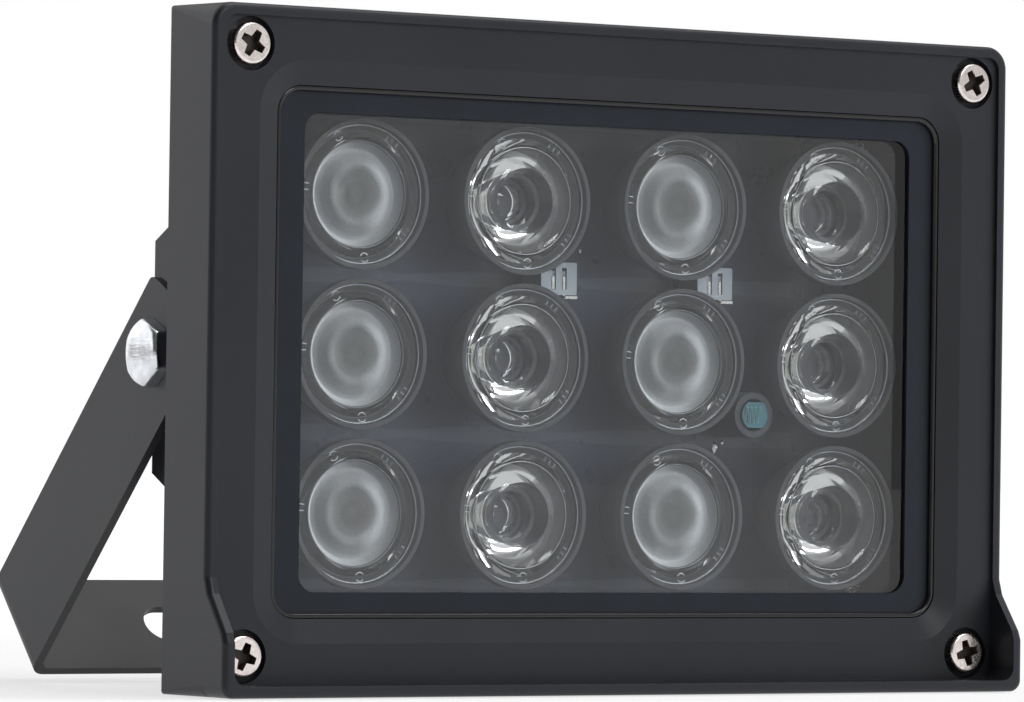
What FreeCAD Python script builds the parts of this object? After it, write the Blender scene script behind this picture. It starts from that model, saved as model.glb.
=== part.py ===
import FreeCAD, Part
import math
import os
import Sketcher

# Infrared illuminator: a flat lamp head with twelve lenses behind glass, tilting in a folded bracket.
# Millimetres. +X is to the viewer's right, +Y goes back, +Z is up. The origin is the centre of the
# bracket's middle hole, on the outer face of its base. The head is drawn in head coordinates: x = 0 in
# the middle, y = 0 at the front of the cover's rim, z = 0 under the cover. HEAD_Y and HEAD_Z move it.

doc = FreeCAD.newDocument("infrared_illuminator")
sheet = doc.addObject("Spreadsheet::Sheet", "dims")

SIZES = [
    # front cover, outside: what stands round the window, and how far the skirt passes the housing
    ("frame_side", 12.85),
    ("frame_top", 12.5),
    ("frame_foot", 12.3),
    ("skirt_reach", 2.1),
    ("cover_corner", 3.8),
    ("foot_corner", 2.0),
    ("back_corner", 0.6),
    ("corner_start", 0.1),
    ("rim_wall", 1.9),
    ("rim_step", 0.7),
    ("rim_round", 1.0),
    ("inner_corner", 2.2),
    ("skirt_wall", 2.4),
    ("face_wall", 3.8),
    # sun lip under the window, with a wing at each end
    ("lip_reach", 6.25),
    ("wing_top", 19.0),
    ("wing_shoulder", 16.4),
    ("wing_shoulder_reach", 0.9),
    ("wing_knee", 10.4),
    ("wing_knee_reach", 5.6),
    ("wing_foot", 8.8),
    # window
    ("glass_overlap", 2.5),
    ("window_corner", 4.5),
    ("bevel_width", 3.9),
    ("bevel_depth", 1.3),
    ("window_lip", 0.9),
    ("glass_corner", 5.2),
    ("glass_thick", 2.5),
    ("gasket_side", 8.1),
    ("gasket_top", 6.7),
    ("clear_corner", 3.0),
    ("gasket_thick", 0.6),
    ("seat_play", 0.3),
    ("seal_thick", 2.0),
    ("seal_inset", 0.5),
    ("seal_side", 5.8),
    ("seal_top", 4.6),
    # cover screws
    ("screw_from_side", 7.1),
    ("screw_from_top", 6.4),
    ("screw_radius", 1.75),
    ("screw_length", 10.0),
    ("screw_head_radius", 3.35),
    ("screw_head_height", 2.5),
    ("screw_seat", 2.5),
    ("screw_hole_radius", 2.0),
    ("sink_radius", 4.35),
    ("screw_post_radius", 5.2),
    ("thread_play", 0.02),
    # rear housing
    ("flange_thick", 4.0),
    ("flange_play", 0.4),
    ("cavity_side", 2.39),
    ("cavity_top", 2.08),
    ("cavity_corner", 4.0),
    ("ledge_side", 5.2),
    ("ledge_top", 5.0),
    ("housing_wall", 3.0),
    ("chamber_depth", 13.9),
    ("fin_depth", 10.0),
    ("fin_thick", 2.2),
    ("fin_pitch", 8.0),
    ("fin_count", 14),
    ("fin_inset", 4.0),
    ("fin_slope", 3.0),
    # ears that carry the pivot bolts
    ("ear_boss_height", 1.7),
    ("ear_boss_radius", 7.4),
    ("ear_rim", 0.1),
    ("ear_up", 18.4),
    ("ear_down", 19.4),
    ("ear_slope_back", 4.4),
    ("ear_slope_high", 2.2),
    # lamp board and what stands on it
    ("board_thick", 1.6),
    ("board_play", 0.4),
    ("board_corner", 3.0),
    ("column_gap", 6.78),
    ("row_gap", 1.44),
    ("lens_gap", 0.4),
    ("holder_height", 12.1),
    ("holder_radius", 12.16),
    ("holder_lip", 0.7),
    ("holder_rim_depth", 2.1),
    ("holder_foot_radius", 8.6),
    ("holder_wall", 1.1),
    ("lens_sink", 1.1),
    ("lens_play", 0.16),
    ("flange_ring", 1.8),
    ("ring_width", 2.1),
    ("ring_slope", 0.7),
    ("frosted_sink", 1.3),
    ("collector_step", 1.1),
    ("collector_foot", 3.9),
    ("collector_lift", 1.6),
    ("collector_curve", 13.0),
    ("well_radius", 4.95),
    ("well_step", 0.9),
    ("well_floor", 4.6),
    ("lamp_pocket_radius", 2.5),
    ("lamp_pocket_top", 3.6),
    ("lamp_pocket_rise", 0.4),
    ("lamp_size", 3.45),
    ("lamp_base", 0.9),
    ("lamp_dome", 1.35),
    # light sensor
    ("sensor_drop", 8.6),
    ("sensor_gap", 2.0),
    ("sensor_radius", 2.55),
    ("sensor_flat", 4.3),
    ("sensor_thick", 2.0),
    ("lead_radius", 0.25),
    ("lead_span", 3.4),
    ("sleeve_radius", 3.8),
    ("sleeve_bore", 2.75),
    ("sleeve_sink", 0.4),
    # plug connectors
    ("plug_width", 7.0),
    ("plug_height", 5.4),
    ("plug_depth", 5.8),
    ("plug_rise", 0.52),
    ("plug_side", 10.25),
    ("plug_slot_width", 0.9),
    ("plug_slot_height", 3.6),
    ("plug_slot_depth", 2.6),
    ("plug_slot_pitch", 2.1),
    # driver board behind the lamp board
    ("driver_side", 8.0),
    ("driver_top", 7.0),
    ("driver_thick", 1.6),
    ("driver_post_height", 4.0),
    ("driver_post_radius", 3.2),
    ("driver_post_inset", 4.5),
    ("choke_radius", 5.0),
    ("choke_height", 6.5),
    ("choke_waist", 3.6),
    ("choke_cheek", 1.2),
    ("choke_x", 26.0),
    ("capacitor_radius", 3.15),
    ("capacitor_height", 7.0),
    ("capacitor_x", -28.0),
    ("chip_length", 6.0),
    ("chip_width", 5.0),
    ("chip_height", 1.6),
    # small screws of both boards
    ("board_screw_radius", 1.25),
    ("board_screw_length", 5.5),
    ("board_screw_head", 2.25),
    ("board_screw_head_height", 1.6),
    ("board_screw_inset", 2.9),
    ("board_hole_radius", 1.4),
    # cable gland at the back
    ("gland_rise", 15.2),
    ("gland_boss_radius", 10.5),
    ("gland_boss_height", 5.0),
    ("gland_clear_width", 27.0),
    ("gland_clear_top", 14.0),
    ("gland_thread", 6.0),
    ("gland_bore", 4.4),
    ("gland_tail", 8.5),
    ("gland_hex", 16.0),
    ("gland_hex_height", 4.0),
    ("gland_neck", 6.0),
    ("nut_skirt", 7.0),
    ("nut_dome", 5.0),
    ("nut_gap", 0.3),
    ("nut_mouth", 3.4),
    ("cable_bore", 3.0),
    ("cable_seal_length", 7.5),
    # bracket and pivot
    ("arm_gap", 1.1),
    ("pivot_drop", 0.4),
    ("bracket_lean", 46.5),
    ("arm_inset", 3.85),
    ("sweep_gap", 2.5),
    ("arm_tip", 10.3),
    ("arm_tip_curve", 20.0),
    ("arm_tip_corner", 1.5),
    ("strip_width", 20.0),
    ("strip_thick", 1.5),
    ("fold_radius", 2.5),
    ("base_hole_radius", 4.2),
    ("slot_width", 7.6),
    ("slot_length", 18.0),
    ("slot_outer_end", 49.0),
    ("bolt_radius", 3.0),
    ("bolt_play", 0.05),
    ("bolt_length", 10.0),
    ("bolt_hex", 10.0),
    ("bolt_head_height", 3.1),
    ("bolt_crown", 0.5),
    ("bolt_crown_radius", 5.2),
    ("bolt_chamfer", 0.35),
    ("bolt_turn", 5.0),
    ("washer_thick", 0.7),
    ("washer_radius", 7.2),
    ("washer_play", 0.05),
]

for row, (alias, size) in enumerate(SIZES, start=1):
    sheet.set("A%d" % row, alias)
    sheet.set("B%d" % row, str(size))
    sheet.setAlias("B%d" % row, alias)
doc.recompute()

# How far a cutting shape runs past the face that it starts or ends at.
PAST = "2"

# Sizes and planes that several pieces share, worked out from the sheet, from the lenses outwards.
COLUMN_PITCH = "(2 * dims.holder_radius + dims.column_gap)"
ROW_PITCH = "(2 * dims.holder_radius + dims.row_gap)"
CAVITY_WIDTH = f"(3 * {COLUMN_PITCH} + 2 * (dims.holder_radius + dims.cavity_side))"
CAVITY_HEIGHT = f"(2 * {ROW_PITCH} + 2 * (dims.holder_radius + dims.cavity_top))"
GLASS_WIDTH = f"({CAVITY_WIDTH} + 2 * (dims.seal_side + dims.seal_inset))"
GLASS_HEIGHT = f"({CAVITY_HEIGHT} + 2 * (dims.seal_top + dims.seal_inset))"
WINDOW_WIDTH = f"({GLASS_WIDTH} - 2 * dims.glass_overlap)"
WINDOW_HEIGHT = f"({GLASS_HEIGHT} - 2 * dims.glass_overlap)"
WINDOW_MIDDLE = f"(dims.frame_foot + {WINDOW_HEIGHT} / 2)"
COVER_WIDTH = f"({WINDOW_WIDTH} + 2 * dims.frame_side)"
COVER_HEIGHT = f"({WINDOW_HEIGHT} + dims.frame_foot + dims.frame_top)"
SCREW_X = f"({COVER_WIDTH} / 2 - dims.screw_from_side)"
SCREW_Z = f"({COVER_HEIGHT} / 2 - dims.screw_from_top)"

# Depths, from the rim at y = 0 to the back.
BEVEL_END = "(dims.rim_step + dims.bevel_depth)"
FACE_BACK = "(dims.rim_step + dims.face_wall)"
GASKET_FRONT = f"({BEVEL_END} + dims.window_lip)"
GLASS_FRONT = f"({GASKET_FRONT} + dims.gasket_thick)"
GLASS_BACK = f"({GLASS_FRONT} + dims.glass_thick)"
FLANGE_FRONT = f"({GLASS_BACK} + dims.seal_thick)"
COVER_DEPTH = f"({FLANGE_FRONT} + dims.flange_thick + dims.skirt_reach)"
BOARD_FRONT = f"({GLASS_BACK} + dims.lens_gap + dims.holder_height)"
BOARD_BACK = f"({BOARD_FRONT} + dims.board_thick)"
FLOOR = f"({BOARD_BACK} + dims.chamber_depth)"
HOUSING_BACK = f"({FLOOR} + dims.housing_wall)"
GLAND_FACE = f"({HOUSING_BACK} + dims.gland_boss_height)"
DRIVER_BACK = f"({FLOOR} - dims.driver_post_height)"
DRIVER_FRONT = f"({DRIVER_BACK} - dims.driver_thick)"

# Rear housing, boards and gland.
HOUSING_WIDTH = f"({CAVITY_WIDTH} + 2 * dims.housing_wall)"
HOUSING_HEIGHT = f"({CAVITY_HEIGHT} + 2 * dims.housing_wall)"
CHAMBER_WIDTH = f"({CAVITY_WIDTH} - 2 * dims.ledge_side)"
CHAMBER_HEIGHT = f"({CAVITY_HEIGHT} - 2 * dims.ledge_top)"
DRIVER_WIDTH = f"({CHAMBER_WIDTH} - 2 * dims.driver_side)"
DRIVER_HEIGHT = f"({CHAMBER_HEIGHT} - 2 * dims.driver_top)"
BOARD_SCREW_X = f"({CAVITY_WIDTH} / 2 - dims.board_play - dims.board_screw_inset)"
BOARD_SCREW_Z = f"({CAVITY_HEIGHT} / 2 - dims.board_play - dims.board_screw_inset)"
DRIVER_POST_X = f"({DRIVER_WIDTH} / 2 - dims.driver_post_inset)"
DRIVER_POST_Z = f"({DRIVER_HEIGHT} / 2 - dims.driver_post_inset)"
FIN_LOW = f"({WINDOW_MIDDLE} - {HOUSING_HEIGHT} / 2 + dims.fin_inset)"
FIN_HIGH = f"({WINDOW_MIDDLE} + {HOUSING_HEIGHT} / 2 - dims.fin_inset)"
GLAND_Z = f"({WINDOW_MIDDLE} - {HOUSING_HEIGHT} / 2 + dims.gland_rise)"

# Lens steps, from the holder inwards.
HOLDER_BORE = "(dims.holder_radius - dims.holder_lip)"
LENS_RADIUS = f"({HOLDER_BORE} - dims.lens_play)"
RING_INNER = f"({LENS_RADIUS} - dims.ring_width)"
FACE_RADIUS = f"({RING_INNER} - dims.ring_slope)"
COLLECTOR_TOP = f"({LENS_RADIUS} - dims.collector_step)"
RING_FRONT = "(-dims.holder_height + dims.lens_sink)"
RING_BACK = f"({RING_FRONT} + dims.flange_ring)"

# Light sensor and plug connectors, which stand between the lenses.
SENSOR_X = COLUMN_PITCH
SENSOR_Z = f"({WINDOW_MIDDLE} - dims.sensor_drop)"
SENSOR_FRONT = f"({GLASS_BACK} + dims.sensor_gap)"
PLUG_Z = f"({WINDOW_MIDDLE} + {ROW_PITCH} / 2 + dims.plug_rise)"
LAMP_PLUG_X = f"(-{COLUMN_PITCH} / 2 + dims.plug_side)"
SENSOR_PLUG_X = f"({COLUMN_PITCH} / 2 + dims.plug_side)"

# Bracket and pivot. The arms are just long enough for the whole cover to swing past the base.
ARM_OUTER = f"({COVER_WIDTH} / 2 - dims.arm_inset)"
ARM_INNER = f"({ARM_OUTER} - dims.strip_thick)"
FOLD_INNER = "(dims.fold_radius - dims.strip_thick)"
BOSS_FACE = f"({ARM_INNER} - dims.washer_thick - 2 * dims.washer_play)"
EAR_FACE = f"({BOSS_FACE} - dims.ear_boss_height)"
PIVOT_Y = f"({COVER_DEPTH} + dims.arm_gap + dims.strip_width / 2)"
PIVOT_Z = f"({COVER_HEIGHT} / 2 - dims.pivot_drop)"
EAR_BACK = f"({PIVOT_Y} + dims.ear_boss_radius + dims.ear_rim)"
SWEEP = f"sqrt(({PIVOT_Y} + dims.lip_reach)^2 + {PIVOT_Z}^2)"
ARM_LENGTH = f"({SWEEP} + dims.sweep_gap + dims.strip_thick)"
HEAD_Y = f"(-{ARM_LENGTH} * sin(dims.bracket_lean) - {PIVOT_Y})"
HEAD_Z = f"({ARM_LENGTH} * cos(dims.bracket_lean) - {PIVOT_Z})"

nodes = {}


def value(expression):
    """The number that an expression over the sheet gives now."""
    result = sheet.evalExpression(expression)
    return float(getattr(result, "Value", result))


def new_body(name, in_head=True):
    """A body drawn in head coordinates, or in coordinates of its own where it is a pattern piece."""
    body = doc.addObject("PartDesign::Body", name)
    body.Label = name
    if in_head:
        body.setExpression("Placement.Base.y", HEAD_Y)
        body.setExpression("Placement.Base.z", HEAD_Z)
        nodes[name] = body
    return body


def new_sketch(body, name, role, offset):
    sketch = body.newObject("Sketcher::SketchObject", body.Name + "_" + name)
    plane = [feature for feature in body.Origin.OriginFeatures if feature.Role == role][0]
    sketch.AttachmentSupport = [(plane, "")]
    sketch.MapMode = "FlatFace"
    sketch.setExpression("AttachmentOffset.Base.z", offset)
    return sketch


def front_sketch(body, name, y):
    """A sketch seen from the front, x across and z up, in the plane at depth y."""
    return new_sketch(body, name, "XZ_Plane", f"-({y})")


def side_sketch(body, name, x):
    """A sketch seen from the side, y across and z up, in the plane at x."""
    return new_sketch(body, name, "YZ_Plane", x)


def plan_sketch(body, name, z):
    """A sketch seen from above, x across and y up, in the plane at height z."""
    return new_sketch(body, name, "XY_Plane", z)


def bind(sketch, kind, geometry, point, expression):
    """Hold one coordinate of a sketch point at an expression, measured from the sketch's origin."""
    if expression == "0":
        axis = -2 if kind == "DistanceX" else -1
        sketch.addConstraint(Sketcher.Constraint("PointOnObject", geometry, point, axis))
        return
    number = value(expression)
    index = sketch.addConstraint(Sketcher.Constraint(kind, -1, 1, geometry, point, number))
    sketch.setExpression("Constraints[%d]" % index, expression)


def outline(sketch, steps):
    """Close a path. A step is (x, y), a line to that point, or (x, y, radius, side), an arc of less
    than half a turn whose centre is on the left (side 1) or the right (side -1) of the way there."""
    points = [FreeCAD.Vector(value(step[0]), value(step[1]), 0) for step in steps]
    ends = []
    for number, step in enumerate(steps):
        start, stop = points[number - 1], points[number]
        if len(step) == 2:
            geometry = sketch.addGeometry(Part.LineSegment(start, stop))
            ends.append((geometry, 1, 2))
            continue
        radius, side = value(step[2]), step[3]
        chord = stop - start
        across = FreeCAD.Vector(-chord.y, chord.x, 0).normalize()
        rise = math.sqrt(max(radius ** 2 - (chord.Length / 2) ** 2, 0.0))
        centre = (start + stop) * 0.5 + across * (side * rise)
        first, last = (start, stop) if side > 0 else (stop, start)
        angle_one = math.atan2(first.y - centre.y, first.x - centre.x)
        angle_two = math.atan2(last.y - centre.y, last.x - centre.x)
        circle = Part.Circle(centre, FreeCAD.Vector(0, 0, 1), radius)
        geometry = sketch.addGeometry(Part.ArcOfCircle(circle, angle_one, angle_two))
        ends.append((geometry, 1, 2) if side > 0 else (geometry, 2, 1))
        index = sketch.addConstraint(Sketcher.Constraint("Radius", geometry, radius))
        sketch.setExpression("Constraints[%d]" % index, step[2])
    for number, step in enumerate(steps):
        geometry, _, finish = ends[number]
        following, begin, _ = ends[(number + 1) % len(steps)]
        sketch.addConstraint(Sketcher.Constraint("Coincident", geometry, finish, following, begin))
        bind(sketch, "DistanceX", geometry, finish, step[0])
        bind(sketch, "DistanceY", geometry, finish, step[1])


def rounded_rectangle(sketch, width, height, corner, middle="0"):
    """A rectangle with round corners, centred on x = 0 at the height middle."""
    right, left = f"({width}) / 2", f"-({width}) / 2"
    top, bottom = f"{middle} + ({height}) / 2", f"{middle} - ({height}) / 2"
    outline(sketch, [
        (f"{right} - ({corner})", bottom),
        (right, f"{bottom} + ({corner})", corner, 1),
        (right, f"{top} - ({corner})"),
        (f"{right} - ({corner})", top, corner, 1),
        (f"{left} + ({corner})", top),
        (left, f"{top} - ({corner})", corner, 1),
        (left, f"{bottom} + ({corner})"),
        (f"{left} + ({corner})", bottom, corner, 1),
    ])


def round_ended_slot(sketch, middle, length, width):
    """A slot along x whose ends are half circles, each drawn as two quarters."""
    far, near = f"{middle} + ({length}) / 2", f"{middle} - ({length}) / 2"
    radius = f"({width}) / 2"
    outline(sketch, [
        (f"{far} - {radius}", "-" + radius),
        (far, "0", radius, 1),
        (f"{far} - {radius}", radius, radius, 1),
        (f"{near} + {radius}", radius),
        (near, "0", radius, 1),
        (f"{near} + {radius}", "-" + radius, radius, 1),
    ])


def circle(sketch, x, y, radius):
    centre = FreeCAD.Vector(value(x), value(y), 0)
    geometry = sketch.addGeometry(Part.Circle(centre, FreeCAD.Vector(0, 0, 1), value(radius)))
    bind(sketch, "DistanceX", geometry, 3, x)
    bind(sketch, "DistanceY", geometry, 3, y)
    index = sketch.addConstraint(Sketcher.Constraint("Radius", geometry, value(radius)))
    sketch.setExpression("Constraints[%d]" % index, radius)


def hexagon(sketch, across_flats):
    """A hexagon about the sketch's origin, with a corner straight up and another straight down."""
    corner = f"({across_flats}) / 2 / cos(30)"
    flat = f"({across_flats}) / 2"
    outline(sketch, [
        ("0", corner),
        ("-" + flat, f"{corner} / 2"),
        ("-" + flat, f"-{corner} / 2"),
        ("0", "-" + corner),
        (flat, f"-{corner} / 2"),
        (flat, f"{corner} / 2"),
    ])


def at_corners(sketch, half_x, middle, half_z, radius):
    """Four equal circles at the corners of a rectangle."""
    for side in ("", "-"):
        for rise in ("+", "-"):
            circle(sketch, f"{side}({half_x})", f"{middle} {rise} ({half_z})", radius)


def extrude(body, sketch, kind, length, backwards=False, both_ways=False):
    feature = body.newObject("PartDesign::" + kind, sketch.Name + "_" + kind.lower())
    feature.Profile = sketch
    feature.setExpression("Length", length)
    feature.Reversed = backwards
    feature.Midplane = both_ways
    return feature


def pad_back(body, sketch, length):
    """Material from the plane of a front sketch towards the back."""
    return extrude(body, sketch, "Pad", length, backwards=True)


def cut_back(body, sketch, length):
    """A cut from the plane of a front sketch towards the back."""
    return extrude(body, sketch, "Pocket", length)


def turn(body, sketch, kind, axis):
    """A solid or a groove turned about the sketch's own H or V axis."""
    feature = body.newObject("PartDesign::" + kind, sketch.Name + "_" + kind.lower())
    feature.Profile = sketch
    feature.ReferenceAxis = (sketch, [axis])
    feature.Angle = 360.0
    return feature


def round_edges(body, base, radius, wanted):
    """Round the edges of the last feature whose middle point passes the test."""
    doc.recompute()
    names = []
    for number, edge in enumerate(base.Shape.Edges, start=1):
        middle = edge.valueAt((edge.FirstParameter + edge.LastParameter) / 2)
        if wanted(middle):
            names.append("Edge%d" % number)
    feature = body.newObject("PartDesign::Fillet", base.Name + "_round")
    feature.Base = (base, names)
    feature.setExpression("Radius", radius)
    return feature


def place(source, name, x, y, z, rotation=None):
    """A copy of a pattern piece at a place given in head coordinates."""
    copy = doc.addObject("Part::Compound", name)
    copy.Label = name
    copy.Links = [source]
    if rotation is not None:
        copy.Placement = FreeCAD.Placement(FreeCAD.Vector(), rotation)
    copy.setExpression("Placement.Base.x", x)
    copy.setExpression("Placement.Base.y", f"{HEAD_Y} + {y}")
    copy.setExpression("Placement.Base.z", f"{HEAD_Z} + {z}")
    return copy


def place_node(source, name, x, y, z, rotation=None):
    nodes[name] = place(source, name, x, y, z, rotation)


def group(name, copies):
    """Equal fasteners, kept together as one node of separate solids."""
    holder = doc.addObject("Part::Compound", name)
    holder.Label = name
    holder.Links = copies
    nodes[name] = holder


def near(one, two):
    return abs(one - two) < 0.01


def make_front_cover():
    """Cast cover: rim, sunk face, bevelled window, skirt, and the lip with its two wings."""
    body = new_body("front_cover")
    block = front_sketch(body, "block", "-dims.lip_reach")
    cover_outline(block, "dims.cover_corner", "dims.foot_corner")
    pad_back(body, block, f"dims.lip_reach + {COVER_DEPTH}")

    side, over = f"({COVER_WIDTH} / 2 - dims.rim_wall)", f"({COVER_HEIGHT} + {PAST})"
    space = front_sketch(body, "lip_space", "-dims.lip_reach")
    outline(space, [
        (f"{side} - dims.inner_corner", "dims.rim_wall"),
        (side, "dims.rim_wall + dims.inner_corner", "dims.inner_corner", 1),
        (side, over),
        ("-" + side, over),
        ("-" + side, "dims.rim_wall + dims.inner_corner"),
        (f"-{side} + dims.inner_corner", "dims.rim_wall", "dims.inner_corner", 1),
    ])
    cut_back(body, space, "dims.lip_reach")

    slope = side_sketch(body, "wing_slope", "0")
    outline(slope, [
        ("0", "dims.wing_top"),
        ("0", over),
        (f"-dims.lip_reach - {PAST}", over),
        (f"-dims.lip_reach - {PAST}", "dims.wing_foot"),
        ("-dims.lip_reach", "dims.wing_foot"),
        ("-dims.wing_knee_reach", "dims.wing_knee"),
        ("-dims.wing_shoulder_reach", "dims.wing_shoulder"),
    ])
    sloped = extrude(body, slope, "Pocket", f"{COVER_WIDTH} + 2 * {PAST}", both_ways=True)

    half_width = value(f"{COVER_WIDTH} / 2")
    wing_top = value("dims.wing_top")
    reach = value("dims.lip_reach")

    def on_front_edge(point):
        outside = abs(abs(point.x) - half_width) < value("dims.cover_corner")
        outside = outside or point.z > value(f"{COVER_HEIGHT} - dims.rim_wall")
        at_rim = near(point.y, 0) and point.z > wing_top and outside
        at_wing = -reach - 0.01 < point.y < -0.01 and near(abs(point.x), half_width)
        at_lip = near(point.y, -reach) and (near(point.z, 0) or near(abs(point.x), half_width))
        return at_rim or at_wing or at_lip

    round_edges(body, sloped, "dims.rim_round", on_front_edge)
    square_up_corner(body, "top_right", "", "-", COVER_HEIGHT, "-", "dims.cover_corner", 1)
    square_up_corner(body, "top_left", "-", "+", COVER_HEIGHT, "-", "dims.cover_corner", -1)
    square_up_corner(body, "foot_right", "", "-", "0", "+", "dims.foot_corner", -1)
    square_up_corner(body, "foot_left", "-", "+", "0", "+", "dims.foot_corner", 1)

    recess = front_sketch(body, "face", "0")
    rounded_rectangle(recess, f"{COVER_WIDTH} - 2 * dims.rim_wall",
                      f"{COVER_HEIGHT} - 2 * dims.rim_wall", "dims.inner_corner",
                      f"{COVER_HEIGHT} / 2")
    cut_back(body, recess, "dims.rim_step")

    wide = front_sketch(body, "bevel_outer", "dims.rim_step")
    rounded_rectangle(wide, f"{WINDOW_WIDTH} + 2 * dims.bevel_width",
                      f"{WINDOW_HEIGHT} + 2 * dims.bevel_width",
                      "dims.window_corner + dims.bevel_width", WINDOW_MIDDLE)
    narrow = front_sketch(body, "bevel_inner", BEVEL_END)
    rounded_rectangle(narrow, WINDOW_WIDTH, WINDOW_HEIGHT, "dims.window_corner",
                      WINDOW_MIDDLE)
    bevel = body.newObject("PartDesign::SubtractiveLoft", "front_cover_bevel")
    bevel.Profile = wide
    bevel.Sections = [narrow]

    window = front_sketch(body, "window", BEVEL_END)
    rounded_rectangle(window, WINDOW_WIDTH, WINDOW_HEIGHT, "dims.window_corner",
                      WINDOW_MIDDLE)
    cut_back(body, window, "dims.face_wall")

    seat = front_sketch(body, "glass_seat", GASKET_FRONT)
    rounded_rectangle(seat, f"{GLASS_WIDTH} + 2 * dims.seat_play",
                      f"{GLASS_HEIGHT} + 2 * dims.seat_play",
                      "dims.glass_corner + dims.seat_play", WINDOW_MIDDLE)
    cut_back(body, seat, "dims.face_wall")

    inside = front_sketch(body, "inside", FACE_BACK)
    rounded_rectangle(inside, f"{COVER_WIDTH} - 2 * dims.skirt_wall",
                      f"{COVER_HEIGHT} - 2 * dims.skirt_wall", "dims.inner_corner",
                      f"{COVER_HEIGHT} / 2")
    cut_back(body, inside, f"{COVER_DEPTH} - {FACE_BACK}")

    posts = front_sketch(body, "posts", FACE_BACK)
    cover_screw_circles(posts, "dims.screw_post_radius")
    pad_back(body, posts, f"{FLANGE_FRONT} - {FACE_BACK}")
    holes = front_sketch(body, "holes", "0")
    cover_screw_circles(holes, "dims.screw_hole_radius")
    cut_back(body, holes, FLANGE_FRONT)
    sinks = front_sketch(body, "sinks", "0")
    cover_screw_circles(sinks, "dims.sink_radius")
    cut_back(body, sinks, "dims.screw_seat")


def cover_outline(sketch, top_corner, foot_corner):
    """The cover from the front, with one radius for its two top corners and one for those at its foot."""
    side = f"({COVER_WIDTH} / 2)"
    outline(sketch, [
        (f"{side} - {foot_corner}", "0"),
        (side, foot_corner, foot_corner, 1),
        (side, f"{COVER_HEIGHT} - {top_corner}"),
        (f"{side} - {top_corner}", COVER_HEIGHT, top_corner, 1),
        (f"-{side} + {top_corner}", COVER_HEIGHT),
        ("-" + side, f"{COVER_HEIGHT} - {top_corner}", top_corner, 1),
        ("-" + side, foot_corner),
        (f"-{side} + {foot_corner}", "0", foot_corner, 1),
    ])


def square_up_corner(body, name, side, inward, level, upright, corner, turning):
    """Fill a rounded corner of the cover more and more towards the back, where it is nearly square."""
    edge = f"{side}{COVER_WIDTH} / 2"
    sections = []
    radii = {"dims.rim_round": f"({corner} - dims.corner_start)", COVER_DEPTH: "dims.back_corner"}
    for depth, radius in radii.items():
        section = front_sketch(body, f"{name}_{len(sections)}", depth)
        outline(section, [
            (edge, f"{level} {upright} {corner}"),
            (edge, f"{level} {upright} {radius}"),
            (f"{edge} {inward} {radius}", level, radius, turning),
            (f"{edge} {inward} {corner}", level),
        ])
        sections.append(section)
    filling = body.newObject("PartDesign::AdditiveLoft", f"front_cover_{name}")
    filling.Profile = sections[0]
    filling.Sections = [sections[1]]


def cover_screw_circles(sketch, radius):
    at_corners(sketch, SCREW_X, f"{COVER_HEIGHT} / 2", SCREW_Z, radius)


def make_window():
    """Flat gasket, glass pane, and the seal between the pane and the housing."""
    gasket = new_body("window_gasket")
    frame = front_sketch(gasket, "frame", GASKET_FRONT)
    rounded_rectangle(frame, GLASS_WIDTH, GLASS_HEIGHT, "dims.glass_corner",
                      WINDOW_MIDDLE)
    rounded_rectangle(frame, f"{GLASS_WIDTH} - 2 * dims.gasket_side",
                      f"{GLASS_HEIGHT} - 2 * dims.gasket_top", "dims.clear_corner",
                      WINDOW_MIDDLE)
    pad_back(gasket, frame, "dims.gasket_thick")

    pane = new_body("window_glass")
    shape = front_sketch(pane, "pane", GLASS_FRONT)
    rounded_rectangle(shape, GLASS_WIDTH, GLASS_HEIGHT, "dims.glass_corner",
                      WINDOW_MIDDLE)
    pad_back(pane, shape, "dims.glass_thick")

    seal = new_body("housing_seal")
    ring = front_sketch(seal, "ring", GLASS_BACK)
    rounded_rectangle(ring, f"{GLASS_WIDTH} - 2 * dims.seal_inset",
                      f"{GLASS_HEIGHT} - 2 * dims.seal_inset", "dims.glass_corner",
                      WINDOW_MIDDLE)
    rounded_rectangle(ring, CAVITY_WIDTH, CAVITY_HEIGHT, "dims.cavity_corner",
                      WINDOW_MIDDLE)
    pad_back(seal, ring, "dims.seal_thick")


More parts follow.
